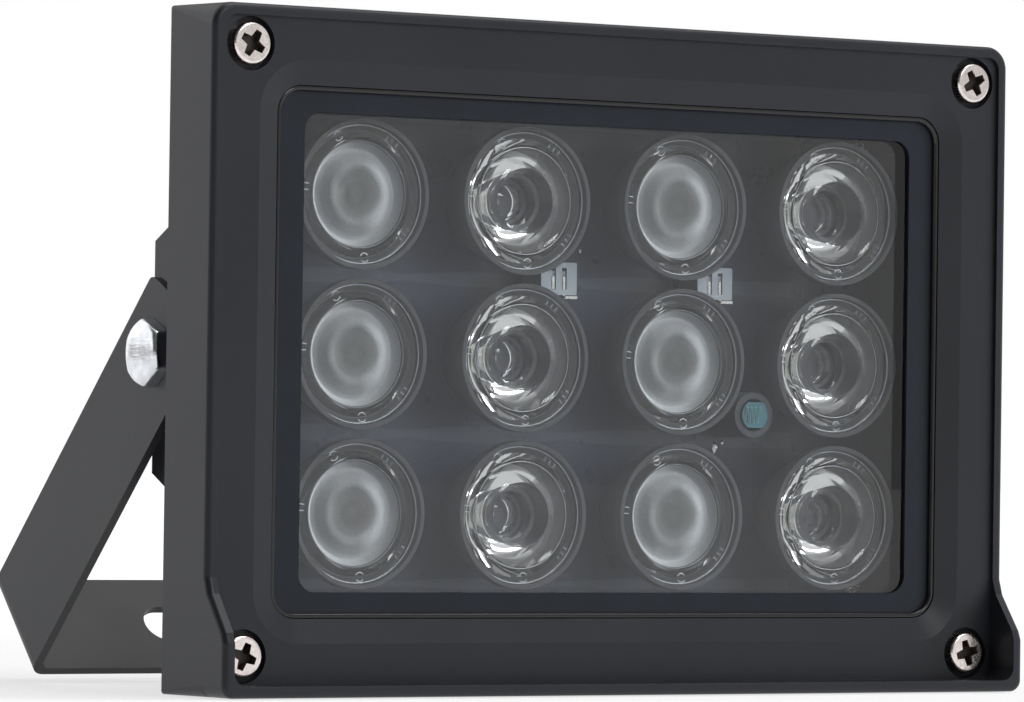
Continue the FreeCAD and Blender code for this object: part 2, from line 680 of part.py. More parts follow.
def make_rear_housing():
    """Cast housing: flange, box, ears with pivot bosses, upright fins and the gland's boss."""
    body = new_body("rear_housing")
    flange = front_sketch(body, "flange", FLANGE_FRONT)
    rounded_rectangle(flange, f"{COVER_WIDTH} - 2 * dims.skirt_wall - 2 * dims.flange_play",
                      f"{COVER_HEIGHT} - 2 * dims.skirt_wall - 2 * dims.flange_play",
                      "dims.inner_corner", f"{COVER_HEIGHT} / 2")
    pad_back(body, flange, "dims.flange_thick")
    box = front_sketch(body, "box", FLANGE_FRONT)
    rounded_rectangle(box, HOUSING_WIDTH, HOUSING_HEIGHT, "dims.cavity_corner + dims.housing_wall",
                      WINDOW_MIDDLE)
    pad_back(body, box, f"{HOUSING_BACK} - {FLANGE_FRONT}")

    ears = side_sketch(body, "ears", "0")
    top, bottom = f"{PIVOT_Z} + dims.ear_up", f"{PIVOT_Z} - dims.ear_down"
    slope_start = f"{EAR_BACK} - dims.ear_slope_back"
    outline(ears, [
        (FLANGE_FRONT, f"{bottom} - dims.ear_slope_high"),
        (slope_start, f"{bottom} - dims.ear_slope_high"),
        (EAR_BACK, bottom),
        (EAR_BACK, top),
        (slope_start, f"{top} + dims.ear_slope_high"),
        (FLANGE_FRONT, f"{top} + dims.ear_slope_high"),
    ])
    extrude(body, ears, "Pad", f"2 * {EAR_FACE}", both_ways=True)
    bosses = side_sketch(body, "bosses", "0")
    circle(bosses, PIVOT_Y, PIVOT_Z, "dims.ear_boss_radius")
    extrude(body, bosses, "Pad", f"2 * {BOSS_FACE}", both_ways=True)

    fin = side_sketch(body, "fin", "-dims.fin_pitch * (dims.fin_count - 1) / 2")
    back = f"({HOUSING_BACK} + dims.fin_depth)"
    root = f"{HOUSING_BACK} - dims.housing_wall / 2"
    outline(fin, [
        (root, FIN_LOW),
        (f"{back} - dims.fin_slope", FIN_LOW),
        (back, f"{FIN_LOW} + dims.fin_slope"),
        (back, f"{FIN_HIGH} - dims.fin_slope"),
        (f"{back} - dims.fin_slope", FIN_HIGH),
        (root, FIN_HIGH),
    ])
    first_fin = extrude(body, fin, "Pad", "dims.fin_thick", both_ways=True)
    doc.recompute()
    fins = body.newObject("PartDesign::LinearPattern", "rear_housing_fins")
    fins.Originals = [first_fin]
    fins.Direction = (fin, ["N_Axis"])
    fins.setExpression("Length", "dims.fin_pitch * (dims.fin_count - 1)")
    fins.setExpression("Occurrences", "dims.fin_count")
    body.Tip = fins

    clear = front_sketch(body, "gland_clearing", HOUSING_BACK)
    clear_side, clear_top = "dims.gland_clear_width / 2", f"{GLAND_Z} + dims.gland_clear_top"
    outline(clear, [
        (clear_side, f"{FIN_LOW} - {PAST}"),
        (clear_side, clear_top),
        (f"-{clear_side}", clear_top),
        (f"-{clear_side}", f"{FIN_LOW} - {PAST}"),
    ])
    cut_back(body, clear, f"dims.fin_depth + {PAST}")
    gland_boss = front_sketch(body, "gland_boss", HOUSING_BACK)
    circle(gland_boss, "0", GLAND_Z, "dims.gland_boss_radius")
    pad_back(body, gland_boss, "dims.gland_boss_height")

    cavity = front_sketch(body, "cavity", FLANGE_FRONT)
    rounded_rectangle(cavity, CAVITY_WIDTH, CAVITY_HEIGHT, "dims.cavity_corner",
                      WINDOW_MIDDLE)
    cut_back(body, cavity, f"{BOARD_BACK} - {FLANGE_FRONT}")
    chamber = front_sketch(body, "chamber", BOARD_BACK)
    rounded_rectangle(chamber, CHAMBER_WIDTH, CHAMBER_HEIGHT, "dims.cavity_corner",
                      WINDOW_MIDDLE)
    cut_back(body, chamber, f"{FLOOR} - {BOARD_BACK}")

    posts = front_sketch(body, "driver_posts", DRIVER_BACK)
    at_corners(posts, DRIVER_POST_X, WINDOW_MIDDLE, DRIVER_POST_Z, "dims.driver_post_radius")
    pad_back(body, posts, "dims.driver_post_height")
    threads = front_sketch(body, "cover_threads", FLANGE_FRONT)
    cover_screw_circles(threads, "dims.screw_radius + dims.thread_play")
    cut_back(body, threads, "dims.flange_thick")
    small = "dims.board_screw_radius + dims.thread_play"
    ledge_threads = front_sketch(body, "ledge_threads", BOARD_BACK)
    at_corners(ledge_threads, BOARD_SCREW_X, WINDOW_MIDDLE, BOARD_SCREW_Z, small)
    cut_back(body, ledge_threads, "dims.board_screw_length")
    post_threads = front_sketch(body, "post_threads", DRIVER_BACK)
    at_corners(post_threads, DRIVER_POST_X, WINDOW_MIDDLE, DRIVER_POST_Z, small)
    cut_back(body, post_threads, "dims.board_screw_length - dims.driver_thick / 2")
    gland_thread = front_sketch(body, "gland_thread", FLOOR)
    circle(gland_thread, "0", GLAND_Z, "dims.gland_thread + dims.thread_play")
    cut_back(body, gland_thread, "dims.housing_wall + dims.gland_boss_height")

    bottom = f"({ARM_OUTER} - dims.bolt_length - dims.strip_thick / 2)"
    for side, backwards in (("", True), ("-", False)):
        name = "thread_right" if backwards else "thread_left"
        thread = side_sketch(body, name, side + bottom)
        circle(thread, PIVOT_Y, PIVOT_Z, "dims.bolt_radius + dims.thread_play")
        extrude(body, thread, "Pocket", "dims.bolt_length", backwards=backwards)


def make_lamp_board():
    """Lamp board with its four holes."""
    body = new_body("led_board")
    sheet_shape = front_sketch(body, "sheet", BOARD_FRONT)
    rounded_rectangle(sheet_shape, f"{CAVITY_WIDTH} - 2 * dims.board_play",
                      f"{CAVITY_HEIGHT} - 2 * dims.board_play", "dims.board_corner",
                      WINDOW_MIDDLE)
    at_corners(sheet_shape, BOARD_SCREW_X, WINDOW_MIDDLE, BOARD_SCREW_Z,
               "dims.board_hole_radius")
    pad_back(body, sheet_shape, "dims.board_thick")


def make_lamp_pattern():
    """One emitter: a square base with a domed lens. It stands on y = 0 and faces -Y."""
    body = new_body("emitter_pattern", in_head=False)
    base = front_sketch(body, "base", "-dims.lamp_base")
    rounded_rectangle(base, "dims.lamp_size", "dims.lamp_size", "dims.lamp_size / 10")
    pad_back(body, base, "dims.lamp_base")
    dome = plan_sketch(body, "dome", "0")
    outline(dome, [
        ("0", "-dims.lamp_base / 2"),
        ("0", "-dims.lamp_base - dims.lamp_dome"),
        ("dims.lamp_dome", "-dims.lamp_base", "dims.lamp_dome", 1),
        ("dims.lamp_dome", "-dims.lamp_base / 2"),
    ])
    turn(body, dome, "Revolution", "V_Axis")
    return body


def make_holder_pattern():
    """One lens holder: a tapered cup on the board, open at the front, with a seat for the lens."""
    body = new_body("holder_pattern", in_head=False)
    profile = plan_sketch(body, "profile", "0")
    outline(profile, [
        ("dims.holder_foot_radius", "0"),
        ("dims.holder_radius", "-(dims.holder_height - dims.holder_rim_depth)"),
        ("dims.holder_radius", "-dims.holder_height"),
        (HOLDER_BORE, "-dims.holder_height"),
        (HOLDER_BORE, RING_BACK),
        (f"{HOLDER_BORE} - dims.holder_wall", RING_BACK),
        ("dims.holder_foot_radius - dims.holder_wall", "0"),
    ])
    turn(body, profile, "Revolution", "V_Axis")
    return body


def lens_back(front):
    """The lens steps that both kinds share, after the steps of the front face: the flange, the curved
    collector and the pocket over the emitter."""
    pocket = "dims.lamp_pocket_radius"
    top = "-dims.lamp_pocket_top"
    return front + [
        (RING_INNER, RING_FRONT),
        (LENS_RADIUS, RING_FRONT),
        (LENS_RADIUS, RING_BACK),
        (COLLECTOR_TOP, RING_BACK),
        ("dims.collector_foot", "-dims.collector_lift", "dims.collector_curve", -1),
        (pocket, "-dims.collector_lift"),
        (pocket, f"{top} + dims.lamp_pocket_rise"),
        ("0", top),
    ]


def make_lens_patterns():
    """Frosted lenses have a flat sunk face. Clear ones have a dished face and a stepped well."""
    face = f"{RING_FRONT} + dims.frosted_sink"
    frosted = new_body("frosted_pattern", in_head=False)
    profile = plan_sketch(frosted, "profile", "0")
    outline(profile, lens_back([("0", face), (FACE_RADIUS, face)]))
    turn(frosted, profile, "Revolution", "V_Axis")

    clear = new_body("clear_pattern", in_head=False)
    profile = plan_sketch(clear, "profile", "0")
    floor = "-dims.well_floor"
    second = "(dims.well_radius - dims.well_step)"
    third = "(dims.well_radius - 2 * dims.well_step)"
    mid_depth = f"({floor} - (dims.holder_height - dims.well_floor) / 4)"
    outline(profile, lens_back([
        ("0", floor),
        (third, floor),
        (third, mid_depth),
        (second, f"{mid_depth} - dims.lamp_pocket_rise"),
        (second, f"{RING_BACK} + dims.well_step"),
        ("dims.well_radius", RING_FRONT),
        (FACE_RADIUS, RING_FRONT, "dims.collector_curve", -1),
    ]))
    turn(clear, profile, "Revolution", "V_Axis")
    return frosted, clear


def make_lamps():
    """Three rows of four lamps: emitter, holder and lens. Columns take turns, frosted then clear."""
    lamp = make_lamp_pattern()
    holder = make_holder_pattern()
    frosted, clear = make_lens_patterns()
    counts = {"frosted_lens": 0, "clear_lens": 0}
    for row in range(3):
        for column in range(4):
            number = row * 4 + column + 1
            x = f"{COLUMN_PITCH} * {column - 1.5}"
            z = f"{WINDOW_MIDDLE} + {ROW_PITCH} * {1 - row}"
            kind = "frosted_lens" if column % 2 == 0 else "clear_lens"
            pattern = frosted if column % 2 == 0 else clear
            counts[kind] += 1
            place_node(lamp, f"led_emitter_{number}", x, BOARD_FRONT, z)
            place_node(holder, f"lens_holder_{number}", x, BOARD_FRONT, z)
            place_node(pattern, f"{kind}_{counts[kind]}", x, BOARD_FRONT, z)


def make_light_sensor():
    """Disc sensor on two leads, in a short sleeve on the lamp board."""
    body = new_body("light_sensor")
    disc = front_sketch(body, "disc", SENSOR_FRONT)
    circle(disc, SENSOR_X, SENSOR_Z, "dims.sensor_radius")
    pad_back(body, disc, "dims.sensor_thick")
    trims = front_sketch(body, "flats", SENSOR_FRONT)
    side = f"dims.sensor_radius + {PAST}"
    for way in ("+", "-"):
        edge = f"{SENSOR_Z} {way} dims.sensor_flat / 2"
        outer = f"{edge} {way} {PAST}"
        outline(trims, [
            (f"{SENSOR_X} - ({side})", edge),
            (f"{SENSOR_X} + {side}", edge),
            (f"{SENSOR_X} + {side}", outer),
            (f"{SENSOR_X} - ({side})", outer),
        ])
    cut_back(body, trims, "dims.sensor_thick")
    leads = front_sketch(body, "leads", f"{SENSOR_FRONT} + dims.sensor_thick / 2")
    for way in ("+", "-"):
        circle(leads, f"{SENSOR_X} {way} dims.lead_span / 2", SENSOR_Z, "dims.lead_radius")
    pad_back(body, leads, f"{BOARD_FRONT} - {SENSOR_FRONT} - dims.sensor_thick / 2")

    sleeve = new_body("sensor_sleeve")
    tube = front_sketch(sleeve, "tube", f"{SENSOR_FRONT} + dims.sleeve_sink")
    circle(tube, SENSOR_X, SENSOR_Z, "dims.sleeve_radius")
    circle(tube, SENSOR_X, SENSOR_Z, "dims.sleeve_bore")
    pad_back(sleeve, tube, f"{BOARD_FRONT} - {SENSOR_FRONT} - dims.sleeve_sink")


def make_connectors():
    """Two plug connectors on the lamp board, each with two slots in its front face."""
    pattern = new_body("plug_pattern", in_head=False)
    block = front_sketch(pattern, "block", "-dims.plug_depth")
    rounded_rectangle(block, "dims.plug_width", "dims.plug_height", "dims.plug_slot_width / 3")
    pad_back(pattern, block, "dims.plug_depth")
    slots = front_sketch(pattern, "slots", "-dims.plug_depth")
    half = "dims.plug_slot_height / 2"
    for way in ("-", "+"):
        middle = f"0 {way} dims.plug_slot_pitch / 2"
        left, right = f"{middle} - dims.plug_slot_width / 2", f"{middle} + dims.plug_slot_width / 2"
        outline(slots, [(right, "-" + half), (right, half), (left, half), (left, "-" + half)])
    cut_back(pattern, slots, "dims.plug_slot_depth")
    place_node(pattern, "lamp_connector", LAMP_PLUG_X, BOARD_FRONT, PLUG_Z)
    place_node(pattern, "sensor_connector", SENSOR_PLUG_X, BOARD_FRONT, PLUG_Z)


def make_driver():
    """Driver board on its posts, with a choke, a capacitor and a chip on its front."""
    board = new_body("driver_board")
    shape = front_sketch(board, "sheet", DRIVER_FRONT)
    rounded_rectangle(shape, DRIVER_WIDTH, DRIVER_HEIGHT, "dims.board_corner",
                      WINDOW_MIDDLE)
    at_corners(shape, DRIVER_POST_X, WINDOW_MIDDLE, DRIVER_POST_Z, "dims.board_hole_radius")
    pad_back(board, shape, "dims.driver_thick")

    choke = new_body("choke_pattern", in_head=False)
    drum = plan_sketch(choke, "drum", "0")
    top = "-dims.choke_height"
    outline(drum, [
        ("dims.choke_radius", "0"),
        ("dims.choke_radius", "-dims.choke_cheek"),
        ("dims.choke_waist", "-dims.choke_cheek"),
        ("dims.choke_waist", f"{top} + dims.choke_cheek"),
        ("dims.choke_radius", f"{top} + dims.choke_cheek"),
        ("dims.choke_radius", top),
        ("0", top),
        ("0", "0"),
    ])
    turn(choke, drum, "Revolution", "V_Axis")
    place_node(choke, "driver_choke", "dims.choke_x", DRIVER_FRONT, WINDOW_MIDDLE)

    can = new_body("driver_capacitor")
    can_base = front_sketch(can, "can", f"{DRIVER_FRONT} - dims.capacitor_height")
    circle(can_base, "dims.capacitor_x", WINDOW_MIDDLE, "dims.capacitor_radius")
    pad_back(can, can_base, "dims.capacitor_height")

    chip = new_body("chip_pattern", in_head=False)
    chip_base = front_sketch(chip, "case", "-dims.chip_height")
    rounded_rectangle(chip_base, "dims.chip_length", "dims.chip_width", "dims.chip_height / 8")
    pad_back(chip, chip_base, "dims.chip_height")
    place_node(chip, "driver_chip", "0", DRIVER_FRONT, WINDOW_MIDDLE)


# Shares of a screw head's radius: its rounded edge, and its cross from the middle to the end of an arm,
# half an arm's width there, and the corner between two arms. Then the cross's share of the head's height,
# and the chamfer at the tip as a share of the shank's radius.
PAN_EDGE = 0.14
CROSS_REACH, CROSS_HALF, CROSS_INNER = 0.66, 0.17, 0.24
CROSS_DEPTH = 0.8
TIP_CHAMFER = 0.3


def make_screw_pattern(name, radius, length, head_radius, head_height):
    """A flat pan-head cross screw. Its head sits on y = 0 and faces -Y, and its shank goes to +Y."""
    body = new_body(name, in_head=False)
    profile = plan_sketch(body, "profile", "0")
    edge = f"(({head_radius}) * {PAN_EDGE})"
    tip = f"({radius}) * {TIP_CHAMFER}"
    outline(profile, [
        ("0", f"-({head_height})"),
        ("0", length),
        (f"{radius} - {tip}", length),
        (radius, f"{length} - {tip}"),
        (radius, "0"),
        (head_radius, "0"),
        (head_radius, f"-({head_height}) + {edge}", edge, 1),
        (f"{head_radius} - {edge}", f"-({head_height})"),
    ][::-1])
    turn(body, profile, "Revolution", "V_Axis")
    cross = front_sketch(body, "cross", f"-({head_height})")
    reach, half, inner = (f"({head_radius}) * {share}" for share in (CROSS_REACH, CROSS_HALF, CROSS_INNER))
    outline(cross, [
        (inner, "-" + inner), (reach, "-" + half), (reach, half), (inner, inner), (half, reach),
        ("-" + half, reach), ("-" + inner, inner), ("-" + reach, half), ("-" + reach, "-" + half),
        ("-" + inner, "-" + inner), ("-" + half, "-" + reach), (half, "-" + reach),
    ])
    cut_back(body, cross, f"({head_height}) * {CROSS_DEPTH}")
    return body


def make_screws():
    """Four cover screws, each turned as it was left, and four small screws for each board."""
    pattern = make_screw_pattern("cover_screw_pattern", "dims.screw_radius", "dims.screw_length",
                                 "dims.screw_head_radius", "dims.screw_head_height")
    turns = {("-", "+"): 30, ("", "+"): 62, ("-", "-"): 20, ("", "-"): 75}
    copies = []
    for (side, rise), angle in turns.items():
        copies.append(place(
            pattern, f"cover_screw_{len(copies) + 1}", side + SCREW_X,
            "dims.screw_seat", f"{COVER_HEIGHT} / 2 {rise} {SCREW_Z}",
            FreeCAD.Rotation(FreeCAD.Vector(0, 1, 0), angle)))
    group("cover_screws", copies)

    small = make_screw_pattern("board_screw_pattern", "dims.board_screw_radius",
                               "dims.board_screw_length", "dims.board_screw_head",
                               "dims.board_screw_head_height")
    places = [(BOARD_FRONT, BOARD_SCREW_X, BOARD_SCREW_Z),
              (DRIVER_FRONT, DRIVER_POST_X, DRIVER_POST_Z)]
    copies = []
    for depth, half_x, half_z in places:
        for side in ("", "-"):
            for rise in ("+", "-"):
                copies.append(place(
                    small, f"board_screw_{len(copies) + 1}", side + half_x, depth,
                    f"{WINDOW_MIDDLE} {rise} {half_z}",
                    FreeCAD.Rotation(FreeCAD.Vector(0, 1, 0), 24 * len(copies))))
    group("board_screws", copies)


def make_gland():
    """Cable gland on the housing's back: threaded body, rubber seal and dome nut, open and empty."""
    body = new_body("gland_body_pattern", in_head=False)
    tube = plan_sketch(body, "tube", "0")
    top = "dims.gland_hex_height + dims.gland_neck"
    outline(tube, [
        ("dims.gland_bore", "-dims.gland_tail"),
        ("dims.gland_thread", "-dims.gland_tail"),
        ("dims.gland_thread", top),
        ("dims.gland_bore", top),
    ][::-1])
    turn(body, tube, "Revolution", "V_Axis")
    collar = front_sketch(body, "collar", "0")
    hexagon(collar, "dims.gland_hex")
    circle(collar, "0", "0", "dims.gland_bore")
    pad_back(body, collar, "dims.gland_hex_height")
    place_node(body, "gland_body", "0", GLAND_FACE, GLAND_Z)

    seal = new_body("gland_seal_pattern", in_head=False)
    start = "dims.gland_hex_height"
    ring = front_sketch(seal, "ring", start)
    circle(ring, "0", "0", "dims.gland_bore - dims.thread_play")
    circle(ring, "0", "0", "dims.cable_bore")
    pad_back(seal, ring, "dims.cable_seal_length")
    place_node(seal, "gland_seal", "0", GLAND_FACE, GLAND_Z)

    nut = new_body("gland_nut_pattern", in_head=False)
    low = "(dims.gland_hex_height + dims.nut_gap)"
    high = f"({low} + dims.nut_skirt)"
    crown = f"({high} + dims.nut_dome)"
    skirt = front_sketch(nut, "skirt", low)
    hexagon(skirt, "dims.gland_hex")
    pad_back(nut, skirt, "dims.nut_skirt")
    dome = plan_sketch(nut, "dome", "0")
    outline(dome, [
        ("0", f"{high} - dims.nut_gap"),
        ("dims.gland_hex / 2", f"{high} - dims.nut_gap"),
        ("dims.gland_hex / 2", high),
        ("dims.nut_mouth + dims.nut_gap * 3", crown, "dims.gland_hex / 2", -1),
        ("0", crown),
    ][::-1])
    turn(nut, dome, "Revolution", "V_Axis")
    hollow = plan_sketch(nut, "hollow", "0")
    outline(hollow, [
        ("0", f"{low} - {PAST}"),
        ("dims.gland_thread + dims.thread_play", f"{low} - {PAST}"),
        ("dims.gland_thread + dims.thread_play", high),
        ("dims.nut_mouth", f"{crown} - dims.nut_dome / 4"),
        ("dims.nut_mouth", f"{crown} + {PAST}"),
        ("0", f"{crown} + {PAST}"),
    ][::-1])
    turn(nut, hollow, "Groove", "V_Axis")
    place_node(nut, "gland_nut", "0", GLAND_FACE, GLAND_Z)


def make_bracket():
    """Folded strip. It is drawn with its base flat on z = 0 and its arms up, and then leaned back."""
    body = doc.addObject("PartDesign::Body", "bracket")
    body.Label = "bracket"
    nodes["bracket"] = body
    body.Placement = FreeCAD.Placement(FreeCAD.Vector(), FreeCAD.Rotation(FreeCAD.Vector(1, 0, 0), 1))
    body.setExpression("Placement.Rotation.Angle", "dims.bracket_lean")

    outer, inner = ARM_OUTER, ARM_INNER
    tip = f"({ARM_LENGTH} + dims.arm_tip)"
    fold = front_sketch(body, "fold", "0")
    outline(fold, [
        ("-" + outer, tip),
        ("-" + outer, "dims.fold_radius"),
        (f"-{outer} + dims.fold_radius", "0", "dims.fold_radius", 1),
        (f"{outer} - dims.fold_radius", "0"),
        (outer, "dims.fold_radius", "dims.fold_radius", 1),
        (outer, tip),
        (inner, tip),
        (inner, "dims.fold_radius"),
        (f"{inner} - {FOLD_INNER}", "dims.strip_thick", FOLD_INNER, -1),
        (f"-{inner} + {FOLD_INNER}", "dims.strip_thick"),
        ("-" + inner, "dims.fold_radius", FOLD_INNER, -1),
        ("-" + inner, tip),
    ])
    extrude(body, fold, "Pad", "dims.strip_width", both_ways=True)

    half = "dims.strip_width / 2"
    shoulder = f"({tip} - dims.arm_tip_curve + sqrt(dims.arm_tip_curve^2 - ({half})^2))"
    ends = side_sketch(body, "ends", "0")
    outline(ends, [
        (f"-({half})", shoulder),
        (half, shoulder, "dims.arm_tip_curve", -1),
        (f"{half} + {PAST}", shoulder),
        (f"{half} + {PAST}", f"{tip} + {PAST}"),
        (f"-{half} - {PAST}", f"{tip} + {PAST}"),
        (f"-{half} - {PAST}", shoulder),
    ])
    shaped = extrude(body, ends, "Pocket", f"2 * {outer} + 2 * {PAST}", both_ways=True)

    height, reach = value(shoulder), value(half)

    def on_tip_corner(point):
        return near(point.z, height) and near(abs(point.y), reach)

    round_edges(body, shaped, "dims.arm_tip_corner", on_tip_corner)

    pivots = side_sketch(body, "pivots", "0")
    circle(pivots, "0", ARM_LENGTH, "dims.bolt_radius + dims.bolt_play")
    extrude(body, pivots, "Pocket", f"2 * {outer} + 2 * {PAST}", both_ways=True)
    holes = plan_sketch(body, "holes", "0")
    circle(holes, "0", "0", "dims.base_hole_radius")
    middle = "(dims.slot_outer_end - dims.slot_length / 2)"
    round_ended_slot(holes, middle, "dims.slot_length", "dims.slot_width")
    round_ended_slot(holes, "-" + middle, "dims.slot_length", "dims.slot_width")
    extrude(body, holes, "Pocket", f"dims.strip_thick + {PAST}", backwards=True)


def make_pivot():
    """Hexagon bolts that screw into the ears, and a friction washer inside each arm."""
    bolt = new_body("bolt_pattern", in_head=False)
    head = side_sketch(bolt, "head", "0")
    hexagon(head, "dims.bolt_hex")
    extrude(bolt, head, "Pad", "dims.bolt_head_height")
    height, edge = "dims.bolt_head_height", "(dims.bolt_crown_radius + 4 * dims.bolt_chamfer)"
    crown = plan_sketch(bolt, "crown", "0")
    curve = "((dims.bolt_crown_radius^2 + dims.bolt_crown^2) / (2 * dims.bolt_crown))"
    outline(crown, [
        (height, "0"),
        (f"{height} - dims.bolt_crown", "dims.bolt_crown_radius", curve, 1),
        (f"{height} - dims.bolt_crown - dims.bolt_chamfer", edge),
        (f"{height} + {PAST}", edge),
        (f"{height} + {PAST}", "0"),
    ])
    turn(bolt, crown, "Groove", "H_Axis")
    shank = plan_sketch(bolt, "shank", "0")
    outline(shank, [
        ("dims.bolt_head_height / 2", "0"),
        ("dims.bolt_head_height / 2", "dims.bolt_radius"),
        ("-dims.bolt_length + dims.bolt_crown", "dims.bolt_radius"),
        ("-dims.bolt_length", "dims.bolt_radius - dims.bolt_crown"),
        ("-dims.bolt_length", "0"),
    ])
    turn(bolt, shank, "Revolution", "H_Axis")

    x = f"({ARM_OUTER} + dims.washer_play)"
    y, z = PIVOT_Y, PIVOT_Z
    angle = value("dims.bolt_turn")
    place_node(bolt, "pivot_bolt_right", x, y, z, FreeCAD.Rotation(FreeCAD.Vector(1, 0, 0), angle))
    flip = FreeCAD.Rotation(FreeCAD.Vector(1, 0, 0), -angle).multiply(
        FreeCAD.Rotation(FreeCAD.Vector(0, 0, 1), 180))
    place_node(bolt, "pivot_bolt_left", "-" + x, y, z, flip)

    washer = new_body("washer_pattern", in_head=False)
    ring = side_sketch(washer, "ring", "0")
    circle(ring, "0", "0", "dims.washer_radius")
    circle(ring, "0", "0", "dims.bolt_radius + dims.bolt_play")
    extrude(washer, ring, "Pad", "dims.washer_thick")
    group("friction_washers", [
        place(washer, "washer_right", BOSS_FACE, y, z),
        place(washer, "washer_left", f"-{BOSS_FACE} - dims.washer_thick", y, z),
    ])


make_front_cover()
make_window()
make_rear_housing()
make_lamp_board()
make_lamps()
make_light_sensor()
make_connectors()
make_driver()
make_screws()
make_gland()
make_bracket()
make_pivot()
doc.recompute()

faults = [item.Name for item in doc.Objects if "Invalid" in item.State or "Error" in item.State]
faults += [name for name, item in nodes.items() if item.Shape.isNull() or not item.Shape.isValid()]
if faults:
    raise RuntimeError("these did not build: " + ", ".join(faults))

os.makedirs("parts", exist_ok=True)
for name, item in nodes.items():
    item.Shape.exportStep(f"parts/{name}.step")
    print(name, len(item.Shape.Solids), round(item.Shape.Volume, 2))
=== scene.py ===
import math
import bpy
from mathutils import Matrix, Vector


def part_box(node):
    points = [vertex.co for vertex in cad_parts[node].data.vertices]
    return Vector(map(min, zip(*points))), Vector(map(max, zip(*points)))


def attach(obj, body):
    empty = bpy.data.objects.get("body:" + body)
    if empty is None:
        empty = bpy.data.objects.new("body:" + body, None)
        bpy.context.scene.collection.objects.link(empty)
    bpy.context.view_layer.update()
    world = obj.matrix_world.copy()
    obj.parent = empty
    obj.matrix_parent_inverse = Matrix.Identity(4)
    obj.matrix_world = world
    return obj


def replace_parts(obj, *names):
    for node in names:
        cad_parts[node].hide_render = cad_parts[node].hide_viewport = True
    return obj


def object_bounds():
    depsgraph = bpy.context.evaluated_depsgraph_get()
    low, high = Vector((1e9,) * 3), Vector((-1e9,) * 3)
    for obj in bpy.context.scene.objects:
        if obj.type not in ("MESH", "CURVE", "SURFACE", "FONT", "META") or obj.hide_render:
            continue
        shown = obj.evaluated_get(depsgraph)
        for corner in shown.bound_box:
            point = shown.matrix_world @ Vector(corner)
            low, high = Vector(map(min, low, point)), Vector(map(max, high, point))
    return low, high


bl_info = {
    "name": "Infrared illuminator",
    "version": (1, 0, 0),
    "blender": (4, 5, 0),
    "location": "View3D > Sidebar > Illuminator",
    "description": "Finishes an infrared lamp head: coated castings, window, lenses, lamp board and fasteners",
    "category": "Add Mesh",
}

import bmesh
import bpy
import numpy as np
from mathutils import Matrix, Vector

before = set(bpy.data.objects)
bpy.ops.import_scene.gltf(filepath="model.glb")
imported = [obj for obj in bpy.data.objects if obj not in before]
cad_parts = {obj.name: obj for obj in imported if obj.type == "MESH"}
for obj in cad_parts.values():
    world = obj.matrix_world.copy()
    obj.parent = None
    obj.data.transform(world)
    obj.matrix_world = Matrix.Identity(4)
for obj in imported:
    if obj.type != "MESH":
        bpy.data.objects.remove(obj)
CAD_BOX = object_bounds()

MM = 0.001

# Head coordinates, in millimetres: x = 0 in the middle, y = 0 at the front of the cover's rim, z = 0
# under the cover. GLASS_DEPTH is how far the pane's front lies behind the rim.
GLASS_DEPTH = 3.5
HEAD = np.array([0.0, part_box("window_glass")[0].y / MM - GLASS_DEPTH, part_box("front_cover")[0].z / MM])
HEAD_BODY = "head"
LENS_COUNT = 12
BOARD_FRONT = 18.5
WINDOW_MIDDLE = 54.9
SCREW_SIDE, SCREW_RISE = 70.75, 48.6
COVER_MIDDLE = 55.0
WINDOW_WIDTH, WINDOW_HEIGHT, WINDOW_CORNER = 130.0, 85.2, 4.5
GASKET_FRONT = 2.9
SENSOR_MIDDLE = 46.3
PIN_WIDTH, PIN_PITCH, SLOT_WIDTH = 0.45, 2.1, 0.88
DUST_COLOUR = (0.4, 0.4, 0.42, 1.0)
# Colour of the painted shade in the screws' cross recesses.
RECESS_SHADE_COLOUR = (0.06, 0.045, 0.036, 1.0)


# ---------------------------------------------------------------- nodes and materials

def add(tree, kind, inputs=None, **settings):
    """Adds a node. An input is a plain value, or a socket that is linked to it."""
    made = tree.nodes.new(kind)
    for key, value in settings.items():
        setattr(made, key, value)
    for key, value in (inputs or {}).items():
        if isinstance(value, bpy.types.NodeSocket):
            tree.links.new(value, made.inputs[key])
        else:
            made.inputs[key].default_value = value
    return made


def calc(tree, operation, a, b=0.0, c=0.0, clamp=False):
    """One step of arithmetic on numbers or sockets."""
    return add(tree, "ShaderNodeMath", {0: a, 1: b, 2: c}, operation=operation, use_clamp=clamp).outputs[0]


def ramp(tree, value, low, high, to_low=0.0, to_high=1.0, smooth=True):
    """Takes low..high to to_low..to_high, with soft ends."""
    kind = "SMOOTHSTEP" if smooth else "LINEAR"
    made = add(tree, "ShaderNodeMapRange", {"Value": value, "From Min": low, "From Max": high,
                                            "To Min": to_low, "To Max": to_high}, interpolation_type=kind)
    return made.outputs["Result"]


def blend_colours(tree, share, first, second):
    """Mixes two colours, each four numbers or a socket, by a share from 0 to 1."""
    made = add(tree, "ShaderNodeMix", data_type="RGBA", blend_type="MIX")
    for index, value in ((0, share), (6, first), (7, second)):
        if isinstance(value, bpy.types.NodeSocket):
            tree.links.new(value, made.inputs[index])
        else:
            made.inputs[index].default_value = value
    return made.outputs[2]


def rgba(colour, shift=1.0):
    """A colour of a property as four numbers, made lighter or darker by shift."""
    return (*[min(1.0, part * shift) for part in colour[:3]], 1.0)


def place_of(tree):
    """The point on the piece, in metres."""
    return add(tree, "ShaderNodeTexCoord").outputs["Object"]


